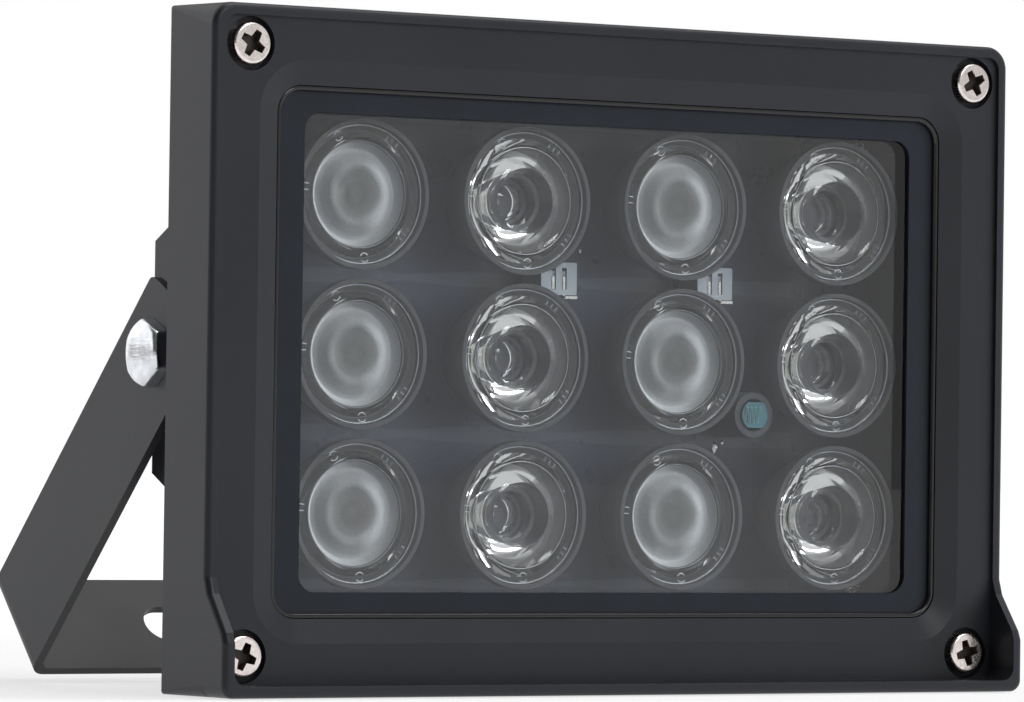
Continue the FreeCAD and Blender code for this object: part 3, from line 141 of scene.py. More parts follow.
def shared_group(name, inputs, outputs, build):
    """A shader node group, built once. Inputs and outputs are (name, kind, default) and (name, kind)."""
    tree = bpy.data.node_groups.get(name)
    if tree is None:
        tree = bpy.data.node_groups.new(name, "ShaderNodeTree")
        for label, kind, default in inputs:
            socket = tree.interface.new_socket(label, in_out="INPUT", socket_type="NodeSocket" + kind)
            if default is not None:
                socket.default_value = default
        for label, kind in outputs:
            tree.interface.new_socket(label, in_out="OUTPUT", socket_type="NodeSocket" + kind)
        build(tree, tree.nodes.new("NodeGroupInput").outputs, tree.nodes.new("NodeGroupOutput").inputs)
    return tree


def use_group(tree, group, **inputs):
    """Places a shared group in a material with its own values. An underscore in a name stands for a space."""
    made = tree.nodes.new("ShaderNodeGroup")
    made.node_tree = group
    for key, value in inputs.items():
        socket = made.inputs[key.replace("_", " ")]
        if isinstance(value, bpy.types.NodeSocket):
            tree.links.new(value, socket)
        else:
            socket.default_value = value
    return made.outputs


def grain_group():
    """Cast and coated grain: a fine noise for the bump and a wide, faint one for the colour."""
    def build(tree, given, out):
        fine = add(tree, "ShaderNodeTexNoise", {"Vector": given["Vector"], "Scale": given["Fine Scale"],
                                                "Detail": 3.0, "Roughness": 0.6})
        wide = add(tree, "ShaderNodeTexNoise", {"Vector": given["Vector"], "Scale": given["Wide Scale"],
                                                "Detail": 4.0, "Roughness": 0.55})
        height = calc(tree, "MULTIPLY_ADD", wide.outputs[0], 0.6, fine.outputs[0])
        tree.links.new(height, out["Height"])
        tree.links.new(wide.outputs[0], out["Mottle"])
        tree.links.new(fine.outputs[0], out["Fine"])
    return shared_group("grain", [("Vector", "Vector", None), ("Fine Scale", "Float", 1800.0),
                                  ("Wide Scale", "Float", 90.0)],
                        [("Height", "Float"), ("Mottle", "Float"), ("Fine", "Float")], build)


def wear_group():
    """Edge wear: how far the rounded normal leaves the real one, broken up by noise."""
    def build(tree, given, out):
        round_normal = add(tree, "ShaderNodeBevel", {"Radius": given["Width"]}, samples=4).outputs[0]
        true_normal = add(tree, "ShaderNodeNewGeometry").outputs["Normal"]
        facing = add(tree, "ShaderNodeVectorMath", {0: round_normal, 1: true_normal},
                     operation="DOT_PRODUCT").outputs["Value"]
        edge = ramp(tree, facing, 0.995, 0.9)
        broken = add(tree, "ShaderNodeTexNoise", {"Vector": given["Vector"], "Scale": 260.0, "Detail": 5.0})
        share = calc(tree, "MULTIPLY", edge, ramp(tree, broken.outputs[0], 0.42, 0.62))
        tree.links.new(calc(tree, "MULTIPLY", share, given["Amount"], clamp=True), out["Wear"])
    return shared_group("edge wear", [("Vector", "Vector", None), ("Width", "Float", 0.0004),
                                      ("Amount", "Float", 0.5)], [("Wear", "Float")], build)


def specks_group():
    """Dust: a few round specks, one at most in each cell of a grid."""
    def build(tree, given, out):
        cells = add(tree, "ShaderNodeTexVoronoi", {"Vector": given["Vector"], "Scale": given["Scale"],
                                                   "Randomness": 1.0})
        near = ramp(tree, cells.outputs["Distance"], given["Size"], 0.0)
        tone = add(tree, "ShaderNodeSeparateColor", {0: cells.outputs["Color"]}).outputs[0]
        chosen = calc(tree, "LESS_THAN", tone, given["Share"])
        tree.links.new(calc(tree, "MULTIPLY", near, chosen), out["Speck"])
    return shared_group("dust specks", [("Vector", "Vector", None), ("Scale", "Float", 300.0),
                                        ("Size", "Float", 0.12), ("Share", "Float", 0.05)],
                        [("Speck", "Float")], build)


def scratch_group():
    """Handling marks on plated metal: fine noise drawn out along one way."""
    def build(tree, given, out):
        drawn = add(tree, "ShaderNodeMapping", {"Vector": given["Vector"], "Rotation": (0.5, 0.3, 0.8),
                                                "Scale": (1.0, 0.06, 1.0)}).outputs[0]
        lines = add(tree, "ShaderNodeTexNoise", {"Vector": drawn, "Scale": given["Scale"], "Detail": 5.0})
        blots = add(tree, "ShaderNodeTexNoise", {"Vector": given["Vector"], "Scale": 500.0, "Detail": 3.0})
        tree.links.new(lines.outputs[0], out["Lines"])
        tree.links.new(blots.outputs[0], out["Blots"])
    return shared_group("handling marks", [("Vector", "Vector", None), ("Scale", "Float", 2500.0)],
                        [("Lines", "Float"), ("Blots", "Float")], build)


def new_material(name, **plain):
    """A material with one Principled shader. Plain sockets are given with underscores for spaces."""
    made = bpy.data.materials.new(name)
    made.use_nodes = True
    tree = made.node_tree
    shader = tree.nodes["Principled BSDF"]
    for key, value in plain.items():
        shader.inputs[key.replace("_", " ")].default_value = value
    return made, tree, shader


def bump(tree, shader, height, distance, strength=1.0):
    """Feeds a height in 0..1 to the shader's normal; distance is its real depth in metres."""
    made = add(tree, "ShaderNodeBump", {"Height": height, "Distance": distance, "Strength": strength})
    tree.links.new(made.outputs[0], shader.inputs["Normal"])
    return made


def coat_material(name, look, shade=1.0, fine=1500.0, depth=0.000012, wear=0.3, shine=0.0):
    """Satin powder coat: grain, faint mottling, paler worn edges and a few pale specks."""
    made, tree, shader = new_material(name, IOR=1.5, Specular_IOR_Level=0.38)
    point = place_of(tree)
    grain = use_group(tree, grain_group(), Vector=point, Fine_Scale=fine, Wide_Scale=45.0)
    worn = use_group(tree, wear_group(), Vector=point, Amount=wear)["Wear"]
    dust = use_group(tree, specks_group(), Vector=point, Scale=190.0, Size=0.045, Share=0.035)["Speck"]
    base = blend_colours(tree, ramp(tree, grain["Mottle"], 0.3, 0.7), rgba(look.colour, 0.92 * shade),
                         rgba(look.colour, 1.08 * shade))
    base = blend_colours(tree, worn, base, rgba(look.worn_colour))
    base = blend_colours(tree, calc(tree, "MULTIPLY", dust, 0.6), base, DUST_COLOUR)
    tree.links.new(base, shader.inputs["Base Color"])
    middle = look.roughness - shine
    rough = ramp(tree, grain["Mottle"], 0.25, 0.75, middle - 0.03, middle + 0.03)
    tree.links.new(calc(tree, "MULTIPLY_ADD", worn, -0.06, rough), shader.inputs["Roughness"])
    bump(tree, shader, grain["Height"], depth, 0.6)
    return made


def plated_material(name, colour, rough=0.16, depth=0.000004, recess_shade=None):
    """Bright plated steel with fine handling marks and slightly duller blots. The optional mask function, given
    (tree, point), marks the places painted dark, rougher and less metallic as painted shade."""
    made, tree, shader = new_material(name)
    point = place_of(tree)
    marks = use_group(tree, scratch_group(), Vector=point)
    base = blend_colours(tree, ramp(tree, marks["Blots"], 0.35, 0.7), rgba(colour, 0.82), rgba(colour))
    rough = ramp(tree, marks["Lines"], 0.3, 0.7, rough * 0.7, rough * 1.5)
    shader.inputs["Metallic"].default_value = 1.0
    if recess_shade:
        # Painted shade: the mask's places are painted dark, rougher and less metallic.
        painted_shade = recess_shade(tree, point)
        base = blend_colours(tree, painted_shade, base, RECESS_SHADE_COLOUR)
        rough = calc(tree, "MAXIMUM", rough, calc(tree, "MULTIPLY", painted_shade, 0.5))
        tree.links.new(calc(tree, "MULTIPLY_ADD", painted_shade, -0.8, 1.0), shader.inputs["Metallic"])
    tree.links.new(base, shader.inputs["Base Color"])
    tree.links.new(rough, shader.inputs["Roughness"])
    bump(tree, shader, marks["Lines"], depth, 0.6)
    return made


def moulded_material(name, colour, rough=0.4, depth=0.000005, mottle=0.06, **plain):
    """Moulded plastic or rubber: fine grain, faint flow marks."""
    made, tree, shader = new_material(name, **plain)
    grain = use_group(tree, grain_group(), Vector=place_of(tree), Fine_Scale=2600.0, Wide_Scale=160.0)
    base = blend_colours(tree, ramp(tree, grain["Mottle"], 0.3, 0.7), rgba(colour, 1.0 - mottle),
                         rgba(colour, 1.0 + mottle))
    tree.links.new(base, shader.inputs["Base Color"])
    tree.links.new(ramp(tree, grain["Mottle"], 0.3, 0.7, rough * 0.9, rough * 1.1), shader.inputs["Roughness"])
    bump(tree, shader, grain["Height"], depth, 0.5)
    return made


def glass_material(name, tint, rough=0.0, behind=(1.0, 1.0, 1.0, 1.0), **plain):
    """Clear plastic or glass. Light from the lamps passes straight through it, tinted by behind, so that
    what lies behind it is lit. Its face carries a very faint haze."""
    made, tree, shader = new_material(name, Transmission_Weight=1.0, **plain)
    haze = add(tree, "ShaderNodeTexNoise", {"Vector": place_of(tree), "Scale": 120.0, "Detail": 3.0})
    shader.inputs["Base Color"].default_value = rgba(tint)
    tree.links.new(ramp(tree, haze.outputs[0], 0.45, 0.75, rough, rough + 0.015), shader.inputs["Roughness"])
    clear = add(tree, "ShaderNodeBsdfTransparent", {"Color": behind})
    shadow = add(tree, "ShaderNodeLightPath").outputs["Is Shadow Ray"]
    mixed = add(tree, "ShaderNodeMixShader", {0: shadow, 1: shader.outputs[0], 2: clear.outputs[0]})
    tree.links.new(mixed.outputs[0], tree.nodes["Material Output"].inputs["Surface"])
    return made, tree, shader


def finish_nodes(material, *names):
    """Gives CAD nodes a material in place of their plain ones."""
    for name in names:
        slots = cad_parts[name].data.materials
        slots.clear()
        slots.append(material)


# ---------------------------------------------------------------- surfaces

def grid_faces(rows, columns, closed=False):
    """Quads between the points of a grid of rows by columns; closed joins the last column to the first."""
    last = columns if closed else columns - 1
    r, c = np.meshgrid(np.arange(rows - 1), np.arange(last), indexing="ij")
    after = (c + 1) % columns
    here, below = r * columns, (r + 1) * columns
    return np.stack([here + c, here + after, below + after, below + c], -1).reshape(-1, 4)


def revolved(profile, centre, steps=48):
    """A surface of revolution about an axis along Y: each profile point (radius, y) goes round a circle."""
    radius, depth = np.array(profile, float).T
    turn = np.linspace(0.0, 2 * math.pi, steps, endpoint=False)
    x = radius[:, None] * np.cos(turn)
    z = radius[:, None] * np.sin(turn)
    y = np.repeat(depth[:, None], steps, axis=1)
    points = np.stack([x, y, z], -1) + np.array(centre)
    return points.reshape(-1, 3), grid_faces(len(profile), steps, closed=True)


def lofted(rings):
    """A closed body through rings of points, rings[ring, step]: each end is drawn together to its middle."""
    ends = [np.repeat(rings[i].mean(axis=0)[None, None, :], rings.shape[1], axis=1) for i in (0, -1)]
    shell = np.concatenate([ends[0], rings, ends[1]])
    return shell.reshape(-1, 3), grid_faces(len(shell), rings.shape[1], closed=True)


def block(low, high):
    """A box between two corners, as a loft of its front and back outlines."""
    x0, y0, z0 = low
    x1, y1, z1 = high
    corners = np.array([(x0, z0), (x1, z0), (x1, z1), (x0, z1)], float)
    return lofted(np.stack([np.insert(corners, 1, y, axis=1) for y in (y0, y1)]))


def tube(path, radius, steps=10, closed=False):
    """A round wire: a circle carried along a path of points, square to it. A closed path joins up."""
    path = np.array(path, float)
    if closed:
        along = np.roll(path, -1, axis=0) - np.roll(path, 1, axis=0)
    else:
        along = np.gradient(path, axis=0)
    along /= np.linalg.norm(along, axis=1)[:, None]
    side = np.cross(along, [0.31, 0.93, 0.17])
    side /= np.linalg.norm(side, axis=1)[:, None]
    other = np.cross(along, side)
    turn = np.linspace(0.0, 2 * math.pi, steps, endpoint=False)[None, :, None]
    rings = path[:, None, :] + radius * (np.cos(turn) * side[:, None, :] + np.sin(turn) * other[:, None, :])
    if closed:
        rings = np.concatenate([rings, rings[:1]])
        return rings.reshape(-1, 3), grid_faces(len(rings), steps, closed=True)
    return lofted(rings)


def rounded_outline(width, height, corner, middle, level, steps=10):
    """Points (x, y, z) round a rectangle with round corners, at one depth: four quarter circles in turn."""
    turn = np.linspace(0.0, math.pi / 2, steps)[None, :] + np.arange(4)[:, None] * math.pi / 2
    reach = np.array([(1, 1), (-1, 1), (-1, -1), (1, -1)], float)
    x = reach[:, :1] * (width / 2 - corner) + corner * np.cos(turn)
    z = reach[:, 1:] * (height / 2 - corner) + corner * np.sin(turn) + middle
    return np.stack([x, np.full_like(x, level), z], -1).reshape(-1, 3)


def bent_profile(steps, count=12):
    """Profile points: (r, h) goes straight there, and (cr, ch, r, h) bends towards (cr, ch) on the way there,
    as a quadratic curve."""
    rows = [np.array(steps[:1], float)]
    share = np.linspace(0.0, 1.0, count + 1)[1:, None]
    for step in steps[1:]:
        start, bend, end = rows[-1][-1], np.array(step[:2]), np.array(step[-2:])
        if len(step) == 2:
            rows.append(end[None, :])
        else:
            rows.append((1 - share) ** 2 * start + 2 * share * (1 - share) * bend + share ** 2 * end)
    return np.concatenate(rows)


def joined(parts):
    """Several (points, faces) as one."""
    starts = np.cumsum([0] + [len(points) for points, faces in parts[:-1]])
    points = np.concatenate([points for points, faces in parts])
    return points, np.concatenate([part[1] + start for part, start in zip(parts, starts)])


def new_piece(name, parts, *materials, body=HEAD_BODY, sharp=35.0):
    """Makes a mesh from parts in head coordinates, closes its seams, and lets it ride on a body."""
    points, faces = joined(parts)
    mesh = bpy.data.meshes.new(name)
    mesh.from_pydata(((points + HEAD) * MM).tolist(), [], faces.tolist())
    piece = bpy.data.objects.new(name, mesh)
    bpy.context.scene.collection.objects.link(piece)
    close_and_turn_out(mesh)
    mesh.shade_smooth()
    mesh.set_sharp_from_angle(angle=math.radians(sharp))
    for material in materials:
        mesh.materials.append(material)
    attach(piece, body)
    return piece


def close_and_turn_out(mesh):
    """Merges doubled points at seams and poles, drops faces of no area and turns the normals out."""
    made = bmesh.new()
    made.from_mesh(mesh)
    bmesh.ops.remove_doubles(made, verts=made.verts, dist=1e-7)
    bmesh.ops.dissolve_degenerate(made, edges=made.edges, dist=1e-8)
    bmesh.ops.recalc_face_normals(made, faces=made.faces)
    made.to_mesh(mesh)
    made.free()


def node_middle(name):
    """The middle of a CAD node's box in head coordinates."""
    low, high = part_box(name)
    return (np.array(low) + np.array(high)) / 2 / MM - HEAD


# ---------------------------------------------------------------- settings

def colour_property(name, description, default):
    return bpy.props.FloatVectorProperty(name=name, description=description, subtype="COLOR", size=3,
                                         min=0.0, max=1.0, default=default)


class CoatLook(bpy.types.PropertyGroup):
    """The powder coat of the castings and the bracket."""
    colour: colour_property("Coat", "Colour of the powder coat", (0.0098, 0.0107, 0.0146))
    worn_colour: colour_property("Worn edge", "Colour of the coat where edges are rubbed", (0.05, 0.051, 0.058))
    roughness: bpy.props.FloatProperty(name="Roughness", description="Roughness of the coat", default=0.4,
                                       min=0.0, max=1.0, subtype="FACTOR")


class WindowLook(bpy.types.PropertyGroup):
    """The pane and the frame in front of its edge."""
    tint: colour_property("Glass", "Tint of the pane", (0.97, 0.985, 0.985))
    frame_colour: colour_property("Frame", "Colour of the flat frame on the pane", (0.0105, 0.013, 0.0185))
    seal_colour: colour_property("Seal", "Colour of the rubber seals and bead", (0.006, 0.006, 0.0065))
    bead: bpy.props.FloatProperty(name="Bead", description="Thickness of the bead round the window",
                                  default=1.0 * MM, min=0.0, unit="LENGTH")


class LensLook(bpy.types.PropertyGroup):
    """The lenses and their holders."""
    clear_tint: colour_property("Clear lens", "Tint of the clear lenses", (0.96, 0.97, 0.985))
    frost_tint: colour_property("Frosted face", "Colour of the frosted faces", (0.93, 0.96, 1.0))
    frost: bpy.props.FloatProperty(name="Frost", description="Roughness of the frosted faces", default=0.45,
                                   min=0.0, max=1.0, subtype="FACTOR")
    # Pale colour of the moulding marks, and of the thin rings that paint highlights on the lens edges.
    highlight_and_mark_colour: colour_property("Lens edge", "Colour of the fine lips and marks", (0.46, 0.48, 0.51))
    holder_colour: colour_property("Holder", "Colour of the lens holders", (0.16, 0.17, 0.195))


class BoardLook(bpy.types.PropertyGroup):
    """The lamp board and what stands on it."""
    mask_colour: colour_property("Mask", "Colour of the board's coating", (0.028, 0.038, 0.062))
    track_colour: colour_property("Track", "Colour of the coating over the copper", (0.053, 0.067, 0.094))
    plug_colour: colour_property("Plug", "Colour of the plug connectors", (0.29, 0.325, 0.365))
    sensor_colour: colour_property("Sensor", "Colour of the sensor's face", (0.006, 0.090, 0.124))
    sleeve_colour: colour_property("Sleeve", "Colour of the sensor's sleeve", (0.034, 0.040, 0.050))
    wire_colour: colour_property("Sensor track", "Colour of the sensor's track", (0.09, 0.23, 0.24))


class MetalLook(bpy.types.PropertyGroup):
    """Screws, bolts and pins."""
    screw_colour: colour_property("Screws", "Colour of the cover screws", (0.93, 0.85, 0.81))
    bolt_colour: colour_property("Bolts", "Colour of the pivot bolts", (0.80, 0.82, 0.86))
    solder_colour: colour_property("Solder", "Colour of pins and solder", (0.84, 0.84, 0.82))


class StageLook(bpy.types.PropertyGroup):
    """The floor, the lamps and the camera."""
    floor_colour: colour_property("Floor", "Colour of the floor", (0.88, 0.88, 0.88))
    lamp_power: bpy.props.FloatProperty(name="Lamps", description="Power of the main lamp", default=16.0,
                                        min=0.0, unit="POWER")
    room_level: bpy.props.FloatProperty(name="Room", description="Brightness of the room in front of the lamp",
                                        default=0.5, min=0.0)


class IlluminatorSettings(bpy.types.PropertyGroup):
    """All settings of the illuminator."""
    coat: bpy.props.PointerProperty(type=CoatLook)
    window: bpy.props.PointerProperty(type=WindowLook)
    lenses: bpy.props.PointerProperty(type=LensLook)
    board: bpy.props.PointerProperty(type=BoardLook)
    metal: bpy.props.PointerProperty(type=MetalLook)
    stage: bpy.props.PointerProperty(type=StageLook)


def settings(context):
    return context.scene.illuminator


# ---------------------------------------------------------------- stage

# The camera: how far the image's centre is turned from the lamp's front, and its distance, in radians and mm.
CAMERA_YAW, CAMERA_PITCH, CAMERA_ROLL = -0.559, -0.019, 0.014
CAMERA_SHIFT = np.array([17.533, 56.305, 1000.246])
CAMERA_FOCAL = 6089.647
IMAGE_WIDTH = 1024
# Levels of the room for rays bent by the pane and the lenses: all round, and at the right.
LENS_DARK, LENS_BRIGHT = 0.12, 0.9
SENSOR_WIDTH = 36.0
# The floor's radius, the distances at which it starts and stops turning white, and the share of white near
# the lamp.
FLOOR_RADIUS = 12.0
PAPER_NEAR, PAPER_FAR, NEAR_SHARE = 0.12, 0.5, 0.62
# Lamps: name, place in metres from the lamp head, width, height, share of the main lamp's power, and
# whether mirrored and bent rays see the lamp.
LAMPS = [
    ("right_softbox", (1.5, -0.75, 0.3), 0.5, 0.9, 3.0, False),
    ("front_softbox", (0.3, -1.7, 0.95), 0.45, 0.35, 0.32, True),
    ("top_softbox", (0.4, -0.3, 1.55), 1.0, 0.9, 0.58, True),
    ("side_softbox", (-1.5, 0.3, 0.7), 0.8, 0.8, 0.5, False),
]


def camera_matrix():
    """The camera's place and turn in the row frame, from its three angles and its shift."""
    cy, sy = math.cos(CAMERA_YAW), math.sin(CAMERA_YAW)
    cx, sx = math.cos(CAMERA_PITCH), math.sin(CAMERA_PITCH)
    cz, sz = math.cos(CAMERA_ROLL), math.sin(CAMERA_ROLL)
    yaw = np.array([[cy, 0, sy], [0, 1, 0], [-sy, 0, cy]])
    pitch = np.array([[1, 0, 0], [0, cx, -sx], [0, sx, cx]])
    roll = np.array([[cz, -sz, 0], [sz, cz, 0], [0, 0, 1]])
    view = roll @ pitch @ yaw @ np.array([[1, 0, 0], [0, 0, -1], [0, 1, 0]])
    centre = (-view.T @ CAMERA_SHIFT + HEAD) * MM
    axes = np.array([view[0], -view[1], -view[2]]).T
    return Matrix([*np.column_stack([axes, centre]).tolist(), [0, 0, 0, 1]])


def ray_masks(tree):
    """1 for rays from the camera, 1 for mirrored rays, and 1 for rays bent by the pane or a lens."""
    path = add(tree, "ShaderNodeLightPath").outputs
    return path["Is Camera Ray"], path["Is Glossy Ray"], path["Is Transmission Ray"]


class ILLUMINATOR_OT_stage(bpy.types.Operator):
    """Make the floor, the room, the lamps and the camera"""
    bl_idname = "illuminator.stage"
    bl_label = "Stage"

    def execute(self, context):
        look = settings(context).stage
        scene = context.scene
        scene.view_settings.view_transform = "Standard"
        low = CAD_BOX[0]
        camera = bpy.data.objects.new("camera", bpy.data.cameras.new("camera"))
        camera.data.sensor_fit, camera.data.sensor_width = "HORIZONTAL", SENSOR_WIDTH
        camera.data.lens = CAMERA_FOCAL * SENSOR_WIDTH / IMAGE_WIDTH
        camera.data.clip_start, camera.data.clip_end = 0.01, 50.0
        camera.matrix_world = camera_matrix()
        scene.collection.objects.link(camera)
        scene.camera = camera
        self.lay_floor(look, low.z - 0.0002)
        self.light_room(look)
        for name, place, width, height, share, mirrored in LAMPS:
            lamp = bpy.data.lights.new(name, "AREA")
            lamp.shape, lamp.size, lamp.size_y = "RECTANGLE", width, height
            lamp.energy = look.lamp_power * share
            holder = bpy.data.objects.new(name, lamp)
            holder.location = place
            holder.rotation_euler = (-Vector(place)).to_track_quat("-Z", "Y").to_euler()
            holder.visible_camera = False
            holder.visible_glossy = holder.visible_transmission = mirrored
            scene.collection.objects.link(holder)
        return {"FINISHED"}

    def lay_floor(self, look, height):
        """A wide round floor that keeps the shadow. Away from the lamp it is white to the camera, and in
        mirrored rays it has the brightness of the room around it. Bent rays see it at less than half that."""
        turn = np.linspace(0.0, 2 * math.pi, 96, endpoint=False)
        flat = np.full_like(turn, height)
        rim = np.stack([FLOOR_RADIUS * np.cos(turn), FLOOR_RADIUS * np.sin(turn), flat], -1)
        mesh = bpy.data.meshes.new("floor")
        mesh.from_pydata(rim.tolist(), [], [list(range(len(rim)))])
        floor = bpy.data.objects.new("floor", mesh)
        bpy.context.scene.collection.objects.link(floor)
        made, tree, shader = new_material("floor_paper", Roughness=0.9)
        point = place_of(tree)
        fibre = add(tree, "ShaderNodeTexNoise", {"Vector": point, "Scale": 900.0, "Detail": 3.0})
        paper = blend_colours(tree, fibre.outputs[0], rgba(look.floor_colour, 0.985), rgba(look.floor_colour))
        tree.links.new(paper, shader.inputs["Base Color"])
        camera_ray, mirrored, bent = ray_masks(tree)
        seen = calc(tree, "MAXIMUM", mirrored, bent)
        distance = add(tree, "ShaderNodeVectorMath", {0: point}, operation="LENGTH").outputs["Value"]
        away = ramp(tree, distance, PAPER_NEAR, PAPER_FAR)
        depth = add(tree, "ShaderNodeSeparateXYZ", {0: point}).outputs["Y"]
        room = ramp(tree, depth, -0.4, 0.4, 2.1 * look.room_level, 1.1)
        room = calc(tree, "MULTIPLY", calc(tree, "MULTIPLY_ADD", bent, -0.55, 1.0), room)
        level = calc(tree, "MAXIMUM", camera_ray, room)
        glow = add(tree, "ShaderNodeEmission", {"Color": (1.0, 1.0, 1.0, 1.0), "Strength": level})
        watched = calc(tree, "MAXIMUM", camera_ray, seen)
        share = calc(tree, "MULTIPLY", watched, ramp(tree, away, 0.0, 1.0, NEAR_SHARE, 1.0))
        mixed = add(tree, "ShaderNodeMixShader", {0: share, 1: shader.outputs[0], 2: glow.outputs[0]})
        tree.links.new(mixed.outputs[0], tree.nodes["Material Output"].inputs["Surface"])
        mesh.materials.append(made)

    def light_room(self, look):
        """White to the camera all round. Mirrored rays see it white behind the lamp head at the left, dimmer at
        the right and in front, and with a narrow dark flag level with the head at the left. Bent rays see a
        dim room with a bright right side."""
        world = bpy.data.worlds.new("room")
        bpy.context.scene.world = world
        world.use_nodes = True
        tree = world.node_tree
        way = add(tree, "ShaderNodeSeparateXYZ", {0: add(tree, "ShaderNodeTexCoord").outputs["Generated"]})
        level = calc(tree, "ABSOLUTE", way.outputs["Z"])
        front = ramp(tree, way.outputs["X"], -0.5, 0.15, 0.2 * look.room_level, 1.24 * look.room_level)
        back = ramp(tree, way.outputs["X"], -0.2, 0.4, 1.36, 0.45)
        room = ramp(tree, way.outputs["Y"], 0.2, 0.6, front, back)
        flag = calc(tree, "MULTIPLY", ramp(tree, way.outputs["X"], -0.15, -0.35), ramp(tree, level, 0.09, 0.03))
        camera_ray, mirrored, bent = ray_masks(tree)
        shine = calc(tree, "MULTIPLY", mirrored, room)
        shine = calc(tree, "MULTIPLY", shine, calc(tree, "MULTIPLY_ADD", flag, -0.75, 1.0))
        sides = calc(tree, "MULTIPLY", ramp(tree, way.outputs["X"], 0.6, 0.7), ramp(tree, level, 0.5, 0.35))
        through = calc(tree, "MULTIPLY", bent, ramp(tree, sides, 0.0, 1.0, LENS_DARK, LENS_BRIGHT))
        rest = calc(tree, "SUBTRACT", 1.0, calc(tree, "MAXIMUM", mirrored, bent))
        other = calc(tree, "MULTIPLY", rest, 0.4 * look.room_level)
        unseen = calc(tree, "ADD", calc(tree, "ADD", shine, through), other)
        strength = calc(tree, "MAXIMUM", camera_ray, unseen)
        background = tree.nodes["Background"]
        background.inputs["Color"].default_value = (1.0, 1.0, 1.0, 1.0)
        tree.links.new(strength, background.inputs["Strength"])


# ---------------------------------------------------------------- castings, window, fasteners

class ILLUMINATOR_OT_castings(bpy.types.Operator):
    """Coat the front cover, the rear housing and the bracket"""
    bl_idname = "illuminator.castings"
    bl_label = "Castings and bracket"

    def execute(self, context):
        look = settings(context).coat
        finish_nodes(coat_material("cover_coat", look), "front_cover")
        finish_nodes(coat_material("housing_coat", look, fine=1100.0, depth=0.00003), "rear_housing")
        finish_nodes(coat_material("bracket_coat", look, shade=0.98, shine=0.02), "bracket")
        return {"FINISHED"}


class ILLUMINATOR_OT_window(bpy.types.Operator):
    """Make the pane clear, its frame and seals black, and lay a rubber bead round the window"""
    bl_idname = "illuminator.window"
    bl_label = "Window"

    def execute(self, context):
        look = settings(context).window
        finish_nodes(glass_material("pane_glass", look.tint, behind=rgba(look.tint, 0.97), IOR=1.5)[0],
                     "window_glass")
        finish_nodes(moulded_material("frame_foil", look.frame_colour, rough=0.45, Specular_IOR_Level=0.22),
                     "window_gasket")
        rubber = moulded_material("seal_rubber", look.seal_colour, rough=0.6)
        finish_nodes(rubber, "housing_seal", "gland_seal")
        thick = look.bead / MM
        glossy = moulded_material("bead_rubber", look.seal_colour, rough=0.16)
        edge = rounded_outline(WINDOW_WIDTH - 0.8 * thick, WINDOW_HEIGHT - 0.8 * thick, WINDOW_CORNER - 0.4 * thick,
                               WINDOW_MIDDLE, GASKET_FRONT - 0.35 * thick)
        new_piece("window_bead", [tube(edge, thick / 2, steps=14, closed=True)], glossy)
        return {"FINISHED"}


# Lens profiles, from the middle outwards over the front and back under the cone: radius, and height above
# the board. bent_profile says how a step of four numbers bends.
LENS_FLANGE = [(9.2, 11.0), (11.3, 11.0), (11.3, 9.2), (10.2, 9.2)]
CLEAR_PROFILE = [
    (0.0, 5.4), (1.8, 5.3, 3.0, 4.4), (3.0, 5.6), (3.7, 5.7), (4.0, 8.0), (4.7, 8.1), (5.2, 11.1),
    (5.35, 11.25), (7.1, 10.5, 8.7, 11.25), (9.0, 10.7), *LENS_FLANGE,
    (7.9, 5.0, 3.9, 1.6), (2.5, 1.6), (2.5, 3.6), (0.0, 3.6),
]
FROSTED_PROFILE = [
    (0.0, 9.5), (2.8, 9.35, 3.9, 9.7), (4.6, 10.05, 5.3, 9.8), (6.5, 9.25, 7.3, 8.7), (7.7, 8.5, 8.6, 10.4),
    *LENS_FLANGE, (7.6, 5.2, 4.4, 1.6), (3.85, 1.6), (3.85, 7.6), (0.0, 7.6),
]
# Painted light on a frosted face, as a tone that darkens its colour: radius, tone, and tone in a painted highlight
# lobe at its right, which starts and is full at these shares of the radius. The tone paints a dark middle and a
# bright rim. Then thin raised rings on each kind of lens, pale to paint highlights on the lens edges: radius,
# height and thickness.
FACE_PAINTED_LIGHT = np.array([
    (0.0, 0.24, 0.24), (1.8, 0.21, 0.21), (2.6, 0.27, 0.27), (3.4, 0.3, 0.36), (4.2, 0.4, 0.9),
    (5.2, 0.46, 1.0), (6.5, 0.55, 1.0), (7.1, 0.9, 1.0), (7.8, 1.0, 1.0), (8.5, 1.0, 0.7),
])
HIGHLIGHT_LOBE_START, HIGHLIGHT_LOBE_FULL = 0.2, 0.8
LENS_HIGHLIGHT_RINGS = {"clear_lens": ((11.2, 11.0, 0.1), (8.8, 11.15, 0.06)),
              "frosted_lens": ((11.2, 11.0, 0.1), (8.65, 10.4, 0.05))}
FACE_RADIUS = 8.5
FACE_FRONT = BOARD_FRONT - 7.9
# Moulding marks on the flange: small rings' distance from the axis and radius, and the ticks' ends and turns.
MARK_PLACE, MARK_RADIUS = 10.25, 0.75
TICK_REACH = (9.9, 10.7)
TICK_TURNS = (3.0, 3.1, 0.9, 1.0, 1.1, -0.75, -0.65, -0.55)


